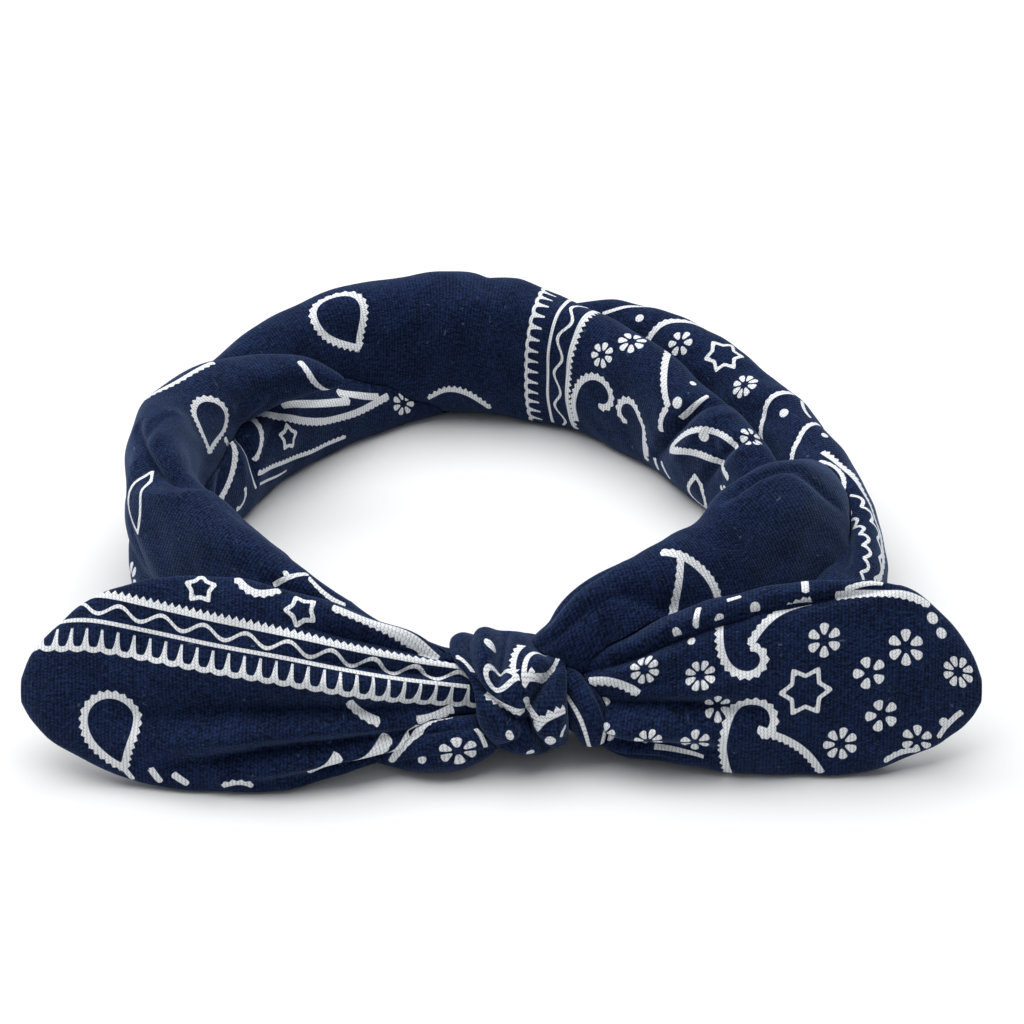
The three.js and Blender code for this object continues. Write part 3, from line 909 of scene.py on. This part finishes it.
def skin_faces(rings, sides, loop, start=0):
    """Four-sided faces between rings of points."""
    here = start + np.arange(rings if loop else rings - 1)[:, None] * sides
    there = start + (here - start + sides) % (rings * sides)
    k = np.arange(sides)[None]
    after = (k + 1) % sides
    return np.stack([here + k, here + after, there + after, there + k], -1).reshape(-1, 4)


def fan(ring, middle, flip):
    """Triangles that shut a ring round its middle point."""
    faces = np.stack([np.full(len(ring), middle), np.roll(ring, -1), ring], axis=-1)
    return faces[:, ::-1] if flip else faces


def rim(outer, inner, flip):
    """Triangles between an outer ring and an inner ring with half as many points."""
    a, b, c = outer[0::2], outer[1::2], np.roll(outer[0::2], -1)
    d, e = inner, np.roll(inner, -1)
    faces = np.concatenate([np.stack(t, -1) for t in ((a, d, b), (b, d, e), (b, e, c))])
    return faces[:, ::-1] if flip else faces


def filled(name):
    """The room that a piece takes: its outside let out by the seam gap, with its ends shut."""
    points, place = cloth_grid(name, ROOMY, -SEAM_GAP, (SEAM_GAP, SEAM_GAP))
    rings, sides = place.shape[:2]
    loop = FORMS[name].loop
    faces = [skin_faces(rings, sides, loop)]
    flat = points.reshape(-1, 3)
    if not loop:
        flat = np.concatenate([flat, [points[0].mean(0), points[-1].mean(0)]])
        faces.append(fan(np.arange(sides), len(flat) - 2, False))
        faces.append(fan(np.arange(sides) + (rings - 1) * sides, len(flat) - 1, True))
    return flat, faces


def cloth_wall(name):
    """A piece as a wall of cloth: its outside, its inside with fewer points, and its ends.

    Also the spots on both its faces, and their places, with 1 for the outside or 0 for the inside.
    """
    form = FORMS[name]
    ends = [-CLOTH if shut else 0.0 for shut in form.shut] or (0, 0)
    outer, out_place = cloth_grid(name, FINE)
    inner, in_place = cloth_grid(name, FINE, CLOTH, ends, every=2)
    rings, sides = outer.shape[:2]
    fewer, half = inner.shape[:2]
    start = rings * sides
    faces = [skin_faces(rings, sides, form.loop)]
    faces.append(skin_faces(fewer, half, form.loop, start)[:, ::-1])
    points = [outer.reshape(-1, 3), inner.reshape(-1, 3)]
    middle = start + fewer * half
    for end, shut in enumerate(form.shut):
        out_ring = np.arange(sides) + end * (rings - 1) * sides
        in_ring = start + np.arange(half) + end * (fewer - 1) * half
        if shut:
            points.append([outer[-end].mean(0), inner[-end].mean(0)])
            faces.append(fan(out_ring, middle, bool(end)))
            faces.append(fan(in_ring, middle + 1, not end))
            middle += 2
        else:
            faces.append(rim(out_ring, in_ring, bool(end)))
    spots = np.concatenate(points[:2])
    places = np.concatenate([out_place.reshape(-1, 3), in_place.reshape(-1, 3)])
    shown = np.repeat([1.0, 0.0], [start, fewer * half])
    return np.concatenate(points), faces, spots, np.column_stack([places, shown])


def new_mesh(name, points, faces):
    """A mesh in metres from points in millimetres."""
    mesh = bpy.data.meshes.new(name)
    rows = [face for group in faces for face in group.tolist()]
    mesh.from_pydata(((points + TO_BASE) * MM).tolist(), [], rows)
    mesh.update()
    if volume_of(mesh) < 0:
        mesh.flip_normals()
    return mesh


def numbers(block, field, size, kind=np.float32):
    """One field of a mesh's elements, as an array."""
    values = np.empty(len(block) * size, kind)
    block.foreach_get(field, values)
    return values.reshape(-1, size) if size > 1 else values


def volume_of(mesh):
    """The volume in a closed mesh, negative where its faces look inwards."""
    mesh.calc_loop_triangles()
    points = numbers(mesh.vertices, "co", 3).astype(float)
    a, b, c = points[numbers(mesh.loop_triangles, "vertices", 3, np.int32).T]
    return (a * np.cross(b, c)).sum() / 6


def placed(name, data):
    """A new object in the scene."""
    item = bpy.data.objects.new(name, data)
    bpy.context.scene.collection.objects.link(item)
    return item


def clear_rooms():
    """Takes away the rooms that pieces were cut by."""
    for room in [item for item in bpy.data.objects if item.name.startswith("room_")]:
        bpy.data.meshes.remove(room.data)


def trim(piece, above):
    """Takes out of a piece the room of each one that lies over it."""
    if not above:
        return
    for other in above:
        room = bpy.data.objects.get("room_" + other)
        if room is None:
            room = placed("room_" + other, new_mesh("room_" + other, *filled(other)))
        cut = piece.modifiers.new("under " + other, "BOOLEAN")
        cut.operation = "DIFFERENCE"
        cut.solver = "MANIFOLD"
        cut.object = room
    graph = bpy.context.evaluated_depsgraph_get()
    graph.update()
    mesh = bpy.data.meshes.new_from_object(piece.evaluated_get(graph))
    piece.modifiers.clear()
    piece.data = mesh


def drop_crumbs(mesh):
    """Deletes the small loose parts that a cut leaves."""
    a, b = numbers(mesh.edges, "vertices", 2, np.int32).T
    label = np.arange(len(mesh.vertices))
    while True:
        before = label.copy()
        least = np.minimum(label[a], label[b])
        np.minimum.at(label, a, least)
        np.minimum.at(label, b, least)
        label = label[label]
        if (label == before).all():
            break
    _, part, counts = np.unique(label, return_inverse=True, return_counts=True)
    crumb = (counts < CRUMB * counts.max())[part]
    if crumb.any():
        work = bmesh.new()
        work.from_mesh(mesh)
        bmesh.ops.delete(work, geom=[v for v in work.verts if crumb[v.index]])
        work.to_mesh(mesh)
        work.free()


# ---------------------------------------------------------------- the print, laid on the cloth


def bowed(u, v, to_u, to_v, bow):
    """A run from one place on the cloth to another, bowed to its left where bow is positive."""
    along = np.linspace(0, 1, RUN_STEPS)[:, None]
    run = np.array([to_u - u, to_v - v], float)
    left = np.array([-run[1], run[0]]) / np.hypot(*run)
    return np.array([u, v]) + run * along + arc(left * bow, along)


def beside(line, offsets):
    """A line that lies to the left of another, by an offset at each of its points."""
    run = np.gradient(line, axis=0)
    left = np.column_stack([-run[:, 1], run[:, 0]]) / np.hypot(*run.T)[:, None]
    return line + left * offsets[:, None]


def drop_outline(belly=0.45, taper=0.9, bend=0.2):
    """A paisley drop, one unit high, with its tip at the top bent aside."""
    turn = np.linspace(0, 2 * math.pi, FIGURE_STEPS)
    y = np.cos(turn) / 2
    x = belly * np.sin(turn) * np.abs(np.sin(turn / 2)) ** taper + bend * (y + 0.5) ** 5
    return np.column_stack([x, y])


def leaf_outline(half=0.17):
    """A leaf one unit long, pointed at both ends."""
    turn = np.linspace(0, 2 * math.pi, FIGURE_STEPS)
    return np.column_stack([-np.cos(turn) / 2, half * np.sin(turn) * np.abs(np.sin(turn))])


def curl_line(turns, fade):
    """A line one unit across that starts in a curl and opens out, faster for a higher fade."""
    heading = 2 * math.pi * turns * np.linspace(1, 0, FIGURE_STEPS) ** fade
    line = np.cumsum(np.column_stack([np.cos(heading), np.sin(heading)]), axis=0)
    line -= (line.max(0) + line.min(0)) / 2
    return line / np.ptp(line, axis=0).max()


OUTLINES = {"drop": drop_outline(), "leaf": leaf_outline()}
CURLS = {"hook": curl_line(0.78, 2.4), "arch": curl_line(0.5, 1)}


def set_down(shape, u, v, turn, size):
    """A figure at its place on the cloth. A negative size mirrors it."""
    x, y = (shape * (size, abs(size))).T
    angle = math.radians(turn)
    return np.column_stack([
        u + x * math.cos(angle) - y * math.sin(angle),
        v + x * math.sin(angle) + y * math.cos(angle),
    ])


def star_outline(u, v, size, tips, turn):
    """A star at its place on the cloth."""
    k = np.arange(2 * tips + 1)
    reach = np.where(k % 2, STAR_WAIST, 1.0) * size
    angle = math.radians(turn) + math.pi * k / tips
    return np.column_stack([u + reach * np.cos(angle), v + reach * np.sin(angle)])


def off_line(places, curve, half, closed=False):
    """Each place's distance along a line, across it in half widths, and away from it."""
    low, high = curve.min(0) - BESIDE, curve.max(0) + BESIDE
    spot = np.column_stack([places[:, 0], places[:, 1]])
    middle = (low[1] + high[1]) / 2
    spot[:, 1] = middle + wrapped(spot[:, 1] - middle, places[:, 2])
    near = np.flatnonzero((spot > low).all(1) & (spot < high).all(1) & (places[:, 3] > 0.5))
    if not len(near):
        return near, np.zeros((0, 3))
    start, run = curve[:-1], np.diff(curve, axis=0)
    size = np.hypot(*run.T)
    offset = spot[near][:, None] - start
    t = (offset * run).sum(-1) / size**2
    short = np.clip(t, 0, 1)
    away = np.hypot(*(offset - short[..., None] * run).transpose(2, 0, 1))
    pick = away.argmin(1)
    rows = np.arange(len(near))
    cross = (run[:, 0] * offset[..., 1] - run[:, 1] * offset[..., 0]) / size
    ahead = t[rows, pick]
    last = len(run) - 1
    beyond = np.zeros(len(near))
    if not closed:
        beyond = np.where(pick == 0, np.maximum(-ahead, 0), 0) * size[0]
        beyond += np.where(pick == last, np.maximum(ahead - 1, 0), 0) * size[last]
    else:
        ahead = np.clip(ahead, 0, 1)
    past_end = beyond > 0
    side = cross[rows, pick]
    reach = np.where(past_end, np.abs(side), away[rows, pick])
    signed = np.sign(side) * reach
    if closed:
        signed = np.where(inside(spot[near], curve), -reach, reach)
    along = np.concatenate([[0], np.cumsum(size)])[pick] + ahead * size[pick]
    return near, np.column_stack([along, signed / half, (reach + PAST_END * beyond) / half])


def inside(spots, outline):
    """Whether each spot is inside a closed outline."""
    x, y = spots.T[..., None]
    (x0, y0), (x1, y1) = outline[:-1].T, outline[1:].T
    crosses = (y0 > y) != (y1 > y)
    rise = np.where(y1 == y0, 1, y1 - y0)
    return (crosses & (x < (x1 - x0) * (y - y0) / rise + x0)).sum(1) % 2 == 1


def keep_closer(field, near, found, extra):
    """Writes a motif's rows into a field wherever it is closer than what is there."""
    closer = found[:, 2] < field[near, 2]
    field[near[closer]] = np.column_stack([found, np.full(len(found), extra)])[closer]


def lay_line(fields, places, line, half, teeth, closed=False, side=1):
    """A printed line. Lines that come close go in different fields, so neither breaks the other."""
    near, found = off_line(places, line, half, closed)
    found[:, 1] *= side
    crowded = CROWDED + teeth

    def clashes(name):
        return np.count_nonzero((fields[name][near, 2] < crowded) & (found[:, 2] < crowded))

    keep_closer(fields[min(LINE_FIELDS, key=clashes)], near, found, teeth)


def lay_bloom(fields, places, u, v, radius, petals=0):
    """A flower of loose petals, or a dot where it has none."""
    du = places[:, 0] - u
    dv = wrapped(places[:, 1] - v, places[:, 2])
    close = np.hypot(du, dv) < 2 * radius + FLOWER_MARGIN
    near = np.flatnonzero(close & (places[:, 3] > 0.5))
    spots = np.column_stack([du, dv])[near] / radius
    keep_closer(fields["blooms"], near, np.column_stack([spots, np.hypot(*spots.T)]), petals)


def lay_border(fields, places, *row):
    """A straight run of border: a comb, a plain line, a wave and a sawtooth side by side."""
    *run, first, last, comb = row
    base = bowed(*run)
    share = np.linspace(first, last, len(base))
    near, found = off_line(places, base, comb)
    found[:, 0] /= comb
    found[:, 2] /= COMB_REACH
    keep_closer(fields["combs"], near, found, 0)
    near, found = off_line(places, beside(base, WAVE_LINE * share), THIN)
    swing = WAVE_HEIGHT / THIN
    found[:, 1] -= swing * np.sin(2 * math.pi * found[:, 0] / WAVE_PITCH)
    found[:, 2] = np.maximum(np.abs(found[:, 1]), found[:, 2] - swing - WAVE_SLACK)
    keep_closer(fields["borders"], near, found, 0)
    for offset, line in ((PLAIN_LINE, (THIN, 0)), (SAWTOOTH_LINE, SAWTOOTH)):
        near, found = off_line(places, beside(base, offset * share), line[0])
        keep_closer(fields["lines"], near, found, line[1])


def lay_lace(fields, places, *run):
    """Two rows of small scallops side by side."""
    for offset, pitch in SCALLOPS:
        base = bowed(*run)
        length = np.hypot(*np.diff(base, axis=0).T).sum()
        along = np.linspace(0, 1, int(length * SCALLOP_POINTS))
        ends = np.linspace(0, 1, len(base))
        line = np.column_stack([np.interp(along, ends, base[:, i]) for i in (0, 1)])
        hump = np.abs(np.sin(math.pi * along * length / pitch)) * SCALLOP_HEIGHT
        lay_line(fields, places, beside(line, offset + hump), SCALLOP_LINE, 0)


def lay_figure(fields, places, kind, u, v, turn, size, *line):
    """A drop, leaf, hook or arch. The teeth of a mirrored open line are mirrored too."""
    closed = kind in OUTLINES
    shape = set_down(OUTLINES[kind] if closed else CURLS[kind], u, v, turn, size)
    side = -1 if size < 0 and not closed else 1
    lay_line(fields, places, shape, *(line or FIGURE_LINE), closed=closed, side=side)


def lay_print(name, places):
    """The print's fields at each place: two of lines, one of blooms and one of combs."""
    fields = {field: np.tile([0, FAR, FAR, 0.0], (len(places), 1)) for field in FIELDS}
    for row in BLOOMS.get(name, ()):
        lay_bloom(fields, places, *row)
    for kind, *row in LINES[name]:
        if kind == "border":
            lay_border(fields, places, *row)
        elif kind == "lace":
            lay_lace(fields, places, *row)
        elif kind == "stroke":
            *run, half, teeth = row
            lay_line(fields, places, bowed(*run), half, teeth)
        elif kind == "star":
            lay_line(fields, places, star_outline(*row), THIN, 0, closed=True)
        else:
            lay_figure(fields, places, kind, *row)
    return fields


def add_map(mesh, name, u, v):
    """A map of a mesh's corners."""
    layer = mesh.uv_layers.new(name=name)
    layer.data.foreach_set("uv", np.column_stack([u, v]).astype(np.float32).ravel())


def dress(name, mesh, spots, places):
    """Gives a trimmed piece the cloth's own places, its print and its map for baking."""
    tree = kdtree.KDTree(len(spots))
    for i, spot in enumerate(((spots + TO_BASE) * MM).tolist()):
        tree.insert(spot, i)
    tree.balance()
    place = places[[tree.find(v.co)[1] for v in mesh.vertices]]
    for field, values in lay_print(name, place).items():
        layer = mesh.attributes.new(field, "FLOAT_COLOR", "POINT")
        layer.data.foreach_set("color", values.astype(np.float32).ravel())
    corner = numbers(mesh.loops, "vertex_index", 1, np.int32)
    sizes = numbers(mesh.polygons, "loop_total", 1, np.int32)
    first = numbers(mesh.polygons, "loop_start", 1, np.int32)
    u, v, round_it, shown = place[corner].T
    lead = v[np.repeat(first, sizes)]
    v = lead + wrapped(v - lead, round_it)
    add_map(mesh, "Cloth", u * MM, v * MM)
    outside = np.repeat(np.minimum.reduceat(shown, first), sizes) > 0.5
    up = v / round_it + 0.5
    bake_u = BAKE_EDGE + BAKE_ALONG * u / max(u.max(), 1)
    bake_v = np.where(outside, BAKE_EDGE + BAKE_OUTSIDE * up, BAKE_STRIP + BAKE_INSIDE * up)
    add_map(mesh, "OFBake", bake_u, bake_v)
    mesh.polygons.foreach_set("use_smooth", np.ones(len(mesh.polygons), bool))
    mesh.set_sharp_from_angle(angle=math.radians(CRISP))
    mesh.update()


# ---------------------------------------------------------------- the cloth's material


class Term:
    """A value in a material, joined to others by arithmetic."""

    def __init__(self, tree, socket):
        self.tree = tree
        self.socket = socket

    def math(self, operation, *others, clamp=False):
        node = self.tree.nodes.new("ShaderNodeMath")
        node.operation = operation
        node.use_clamp = clamp
        for slot, value in zip(node.inputs, (self, *others)):
            if isinstance(value, Term):
                self.tree.links.new(value.socket, slot)
            else:
                slot.default_value = value
        return Term(self.tree, node.outputs[0])

    def __add__(self, other):
        return self.math("ADD", other)

    def __sub__(self, other):
        return self.math("SUBTRACT", other)

    def __mul__(self, other):
        return self.math("MULTIPLY", other)

    def __truediv__(self, other):
        return self.math("DIVIDE", other)

    def flipped(self):
        """1 where this is 0, and 0 where it is 1."""
        return (self * -1) + 1

    def within(self, low, high):
        """Never below a low limit or above a high one."""
        return self.math("MAXIMUM", low).math("MINIMUM", high)

    def under(self, limit, soft):
        """1 where this is below a limit and 0 above it, with a soft edge."""
        gap = (self * -1) + limit
        return gap.math("MULTIPLY_ADD", 1 / soft, 0.5, clamp=True)


def field_terms(tree, name):
    """The four values of one of the print's fields."""
    node = tree.nodes.new("ShaderNodeAttribute")
    node.attribute_name = name
    split = tree.nodes.new("ShaderNodeSeparateXYZ")
    tree.links.new(node.outputs["Vector"], split.inputs[0])
    return [Term(tree, out) for out in (*split.outputs, node.outputs["Alpha"])]


def line_ink(tree, name):
    """Ink of plain and toothed lines. Teeth stand on a line's left, or outside a closed one."""
    along, across, reach, teeth = field_terms(tree, name)
    phase = (along * (1 / TOOTH_PITCH)).math("FRACT") - 0.5
    tooth = phase.math("ABSOLUTE") * -2 + 1
    height = tooth * teeth + 1
    over = (across - height).under(0, soft=0.16)
    below = (across * -1).under(1, soft=0.16)
    near = (reach - teeth).under(LINE_CUT, soft=0.2)
    return over * below * near


def bloom_ink(tree):
    """Ink of flowers, as loose petals round a bare middle, and of dots, which have no petals."""
    x, y, reach, petals = field_terms(tree, "blooms")
    radius = ((x * x) + (y * y)).math("SQRT")
    turn = y.math("ARCTAN2", x) * (0.5 / math.pi)
    share = (turn * petals).math("FRACT") - 0.5
    aside = share.math("ABSOLUTE") * radius * (2 * math.pi) / petals.math("MAXIMUM", 1)
    out = (radius - PETAL_MIDDLE) / (1 - PETAL_MIDDLE)
    shared, own = PETAL_WIDTH
    wide = radius * (petals.math("MAXIMUM", 1).math("POWER", -1) * shared + own)
    petal = ((aside / wide).math("POWER", 2) + out.math("POWER", 4)).under(1, soft=0.3)
    dot = radius.under(1, soft=0.15)
    has_petals = petals.math("GREATER_THAN", 0.5)
    return (petal * has_petals + dot * has_petals.flipped()) * reach.under(1.05, soft=0.06)


def comb_ink(tree):
    """Ink of the comb border: round cells over a scalloped base, with tapering prongs between."""
    along, across, reach, _ = field_terms(tree, "combs")
    cell = ((along * (1 / COMB_PITCH)).math("FRACT") - 0.5).math("ABSOLUTE") * 2
    walls = (cell * (1 / COMB_CELL)).math("POWER", COMB_CUP) * COMB_HEIGHT + COMB_BASE
    over = (across - walls).under(0, soft=0.14)
    tip = across.under(COMB_HEIGHT, soft=0.3)
    scallop = (cell * cell).flipped() * COMB_DIP + COMB_BASE
    below = (across * -1 - scallop).under(0, soft=0.14)
    return over * tip * below * reach.under(2.4, soft=0.1)


def cloth_map(tree):
    """Places along and round the cloth, in metres."""
    node = tree.nodes.new("ShaderNodeUVMap")
    node.uv_map = "Cloth"
    return node.outputs[0]


def knit_terms(tree, settings):
    """The knit's height and how much of the ground shows through the ink, from the cloth's map."""
    split = tree.nodes.new("ShaderNodeSeparateXYZ")
    tree.links.new(cloth_map(tree), split.inputs[0])
    u, v = (Term(tree, out) for out in split.outputs[:2])
    wale = u * (1 / settings.wale)
    rib = (wale.math("FRACT") - 0.5).math("ABSOLUTE") * 2
    course = v * (1 / settings.course) + rib * 0.3 + wale.math("FLOOR") * 0.5
    stitch = (course * (2 * math.pi)).math("SINE") * 0.5 + 0.5
    height = rib.flipped() * 0.6 + stitch * 0.4
    gap = rib.math("POWER", 2) * stitch.math("POWER", 2)
    return height, gap


def noise(tree, size, detail=2.0, along=1.0):
    """Uneven noise about zero, in patches of a size in millimetres, drawn out along the knit."""
    mapping = tree.nodes.new("ShaderNodeMapping")
    mapping.inputs["Scale"].default_value = (1 / along, 1, 1)
    tree.links.new(cloth_map(tree), mapping.inputs["Vector"])
    node = tree.nodes.new("ShaderNodeTexNoise")
    node.inputs["Scale"].default_value = 1 / (size * MM)
    node.inputs["Detail"].default_value = detail
    tree.links.new(mapping.outputs[0], node.inputs["Vector"])
    return Term(tree, node.outputs["Fac"]) - 0.5


def mixed(tree, share, low, high):
    """A colour between two others."""
    node = tree.nodes.new("ShaderNodeMix")
    node.data_type = "RGBA"
    tree.links.new(share.socket, node.inputs["Factor"])
    for slot, value in (("A", low), ("B", high)):
        socket = next(s for s in node.inputs if s.name == slot and s.type == "RGBA")
        if isinstance(value, bpy.types.NodeSocket):
            tree.links.new(value, socket)
        else:
            socket.default_value = (*value, 1)
    return next(s for s in node.outputs if s.type == "RGBA")


def jersey(settings):
    """Navy cotton jersey with a white bandana print."""
    material = bpy.data.materials.get("navy_jersey")
    if material:
        return material
    material = bpy.data.materials.new("navy_jersey")
    material.use_nodes = True
    tree = material.node_tree
    shader = tree.nodes["Principled BSDF"]
    ink = line_ink(tree, "lines").math("MAXIMUM", line_ink(tree, "borders"))
    ink = ink.math("MAXIMUM", bloom_ink(tree)).math("MAXIMUM", comb_ink(tree))
    height, gap = knit_terms(tree, settings)
    mottle = noise(tree, 7, detail=3)
    fleck = noise(tree, 0.6)
    heather = noise(tree, 0.6, detail=1, along=2.5)
    # The ground's tone: random mottle, flecks and heather, plus painted shade from the knit's
    # height, darker in the hollows between the stitches.
    tone_and_stitch_shade = mottle * 0.6 + fleck * 1.6 + heather * 1.3 + height * 0.7 + 0.02
    ground = mixed(tree, tone_and_stitch_shade.within(0, 1), settings.ground_dark, settings.ground)
    thread = noise(tree, 2.4, detail=1).math("ABSOLUTE").under(0.005, soft=0.005)
    sparse = (noise(tree, 2.6, detail=1, along=0.7) - 0.09).within(0, 0.1)
    lint = thread * sparse * 9
    brushed = mixed(tree, lint.within(0, 1) * 0.4, ground, settings.lint)
    printed = ink * (gap * (fleck * 1.6 + 1)).within(0, 1).flipped()
    colour = mixed(tree, printed.within(0, 1), brushed, settings.ink)
    tree.links.new(colour, shader.inputs["Base Color"])
    shader.inputs["Roughness"].default_value = 0.95
    shader.inputs["Specular IOR Level"].default_value = 0.08
    shader.inputs["Sheen Weight"].default_value = settings.fuzz
    shader.inputs["Sheen Roughness"].default_value = 0.45
    shader.inputs["Sheen Tint"].default_value = (*FUZZ_TINT, 1)
    bump = tree.nodes.new("ShaderNodeBump")
    bump.inputs["Strength"].default_value = 0.7
    bump.inputs["Distance"].default_value = STITCH_RELIEF * MM
    relief = height + fleck * 1.2
    tree.links.new(relief.socket, bump.inputs["Height"])
    tree.links.new(bump.outputs[0], shader.inputs["Normal"])
    return material


def make_piece(name):
    """Builds one stretch of cloth, hangs it on the root body and hides the imported part that it
    stands for.
    """
    points, faces, spots, places = cloth_wall(name)
    piece = placed("jersey_" + name, new_mesh("jersey_" + name, points, faces))
    trim(piece, LIES_UNDER[name])
    drop_crumbs(piece.data)
    dress(name, piece.data, spots, places)
    piece.data.materials.clear()
    piece.data.materials.append(jersey(bpy.context.scene.headband))
    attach(piece, "root")
    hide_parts(name)


# ---------------------------------------------------------------- the add-on


def colour_setting(name, description, default):
    """A colour that the user can change."""
    return FloatVectorProperty(
        name=name, description=description, default=default, subtype="COLOR", min=0, max=1
    )


def length_setting(name, description, default, least):
    """A length that the user can change, in metres."""
    return FloatProperty(
        name=name, description=description, default=default, min=least, unit="LENGTH"
    )


class HeadbandSettings(bpy.types.PropertyGroup):
    """The headband's finish, and its stage's"""

    ground: colour_setting(
        "Ground", "Colour of the jersey where it catches the light", (0.0150, 0.032, 0.104)
    )
    # The deep end of the ground's random tone, and also the colour of the painted shade between the
    # stitches.
    ground_dark: colour_setting(
        "Ground, deep", "Colour of the jersey between its stitches", (0.0017, 0.0034, 0.0115)
    )
    ink: colour_setting("Print", "Colour of the printed pattern", (0.92, 0.94, 0.96))
    lint: colour_setting(
        "Lint", "Colour of the loose fibres on the brushed surface", (0.16, 0.21, 0.32)
    )
    fuzz: FloatProperty(
        name="Fuzz",
        description="How much the brushed surface lightens where it turns away",
        default=0.22,
        min=0,
        max=1,
        subtype="FACTOR",
    )
    wale: length_setting("Wale", "Distance between the knit's columns", 0.0008, 0.0002)
    course: length_setting("Course", "Distance between the knit's rows", 0.0007, 0.0002)
    floor: colour_setting("Floor", "Colour of the table top", (0.89, 0.89, 0.89))
    distance: length_setting(
        "Camera distance", "From the camera to what it aims at", 0.9, 0.3
    )


class HEADBAND_OT_stage(bpy.types.Operator):
    """Lays a pale table top and sets the lights and the camera"""

    bl_idname = "headband.stage"
    bl_label = "Stage"

    def execute(self, context):
        settings = context.scene.headband
        context.scene.view_settings.view_transform = "Standard"
        set_floor(settings)
        set_lights()
        set_camera(settings)
        return {"FINISHED"}


class HEADBAND_OT_knot(bpy.types.Operator):
    """Ties the knot: the wrap and the bunched ends beside it"""

    bl_idname = "headband.knot"
    bl_label = "Knot"

    def execute(self, context):
        make_piece("knot_wrap")
        make_piece("knot_tuck_left")
        make_piece("knot_strand_right")
        clear_rooms()
        return {"FINISHED"}


class HEADBAND_OT_tails(bpy.types.Operator):
    """Opens the two leaf-shaped tails of the bow"""

    bl_idname = "headband.tails"
    bl_label = "Bow tails"

    def execute(self, context):
        make_piece("tail_left")
        make_piece("tail_right")
        clear_rooms()
        return {"FINISHED"}


class HEADBAND_OT_band(bpy.types.Operator):
    """Rolls the five stretches of the band round the loop"""

    bl_idname = "headband.band"
    bl_label = "Band"

    def execute(self, context):
        make_piece("band_front_right")
        make_piece("band_left")
        make_piece("band_outer_right")
        make_piece("band_back")
        make_piece("band_inner_left")
        clear_rooms()
        return {"FINISHED"}


class HEADBAND_PT_sidebar(bpy.types.Panel):
    """The headband's sizes and colours, and a button for each group of pieces"""

    bl_label = "Headband"
    bl_idname = "HEADBAND_PT_sidebar"
    bl_space_type = "VIEW_3D"
    bl_region_type = "UI"
    bl_category = "Headband"

    def draw(self, context):
        settings = context.scene.headband
        for name in HeadbandSettings.__annotations__:
            self.layout.prop(settings, name)
        for operator in STEPS:
            self.layout.operator(operator.bl_idname)


def set_floor(settings):
    """A wide pale table top under everything."""
    corners = [(x * TABLE_HALF, y * TABLE_HALF, 0) for x, y in ((-1, -1), (1, -1), (1, 1), (-1, 1))]
    mesh = bpy.data.meshes.new("table_top")
    mesh.from_pydata(corners, [], [(0, 1, 2, 3)])
    floor = placed("table_top", mesh)
    pale = bpy.data.materials.new("pale_table")
    pale.use_nodes = True
    shader = pale.node_tree.nodes["Principled BSDF"]
    shader.inputs["Base Color"].default_value = (*settings.floor, 1)
    shader.inputs["Roughness"].default_value = 0.6
    mesh.materials.append(pale)


def set_lights():
    """A soft sky, a wide softbox behind and above, and a low one at the left."""
    world = bpy.data.worlds.new("studio")
    bpy.context.scene.world = world
    world.use_nodes = True
    background = world.node_tree.nodes["Background"]
    background.inputs["Color"].default_value = (*SKY_COLOUR, 1)
    background.inputs["Strength"].default_value = SKY
    for name, place, aim, size, power in LIGHTS:
        lamp = bpy.data.lights.new(name, "AREA")
        lamp.shape = "RECTANGLE"
        lamp.size, lamp.size_y = size
        lamp.energy = power
        light = placed(name, lamp)
        light.location = place
        way = Vector(aim) - Vector(place)
        light.rotation_euler = way.to_track_quat("-Z", "Y").to_euler()


def set_camera(settings):
    """Looks at the loop from its front and above."""
    lens = bpy.data.cameras.new("camera")
    lens.lens = LENS
    lens.sensor_width = FILM
    lens.clip_start = 0.05
    lens.clip_end = 20
    camera = placed("camera", lens)
    above = math.radians(CAMERA_RISE)
    away = Vector((0, -math.cos(above), math.sin(above)))
    camera.location = Vector(CAMERA_AIM) + away * settings.distance
    camera.rotation_euler = (-away).to_track_quat("-Z", "Y").to_euler()
    bpy.context.scene.camera = camera


STEPS = (HEADBAND_OT_stage, HEADBAND_OT_knot, HEADBAND_OT_tails, HEADBAND_OT_band)
CLASSES = (HeadbandSettings, *STEPS, HEADBAND_PT_sidebar)


def register():
    for item in CLASSES:
        bpy.utils.register_class(item)
    bpy.types.Scene.headband = PointerProperty(type=HeadbandSettings)


def unregister():
    del bpy.types.Scene.headband
    for item in reversed(CLASSES):
        bpy.utils.unregister_class(item)


def main():
    """Builds the headband on its stage."""
    register()
    bpy.ops.headband.stage()
    bpy.ops.headband.knot()
    bpy.ops.headband.tails()
    bpy.ops.headband.band()


if __name__ == "__main__":
    main()
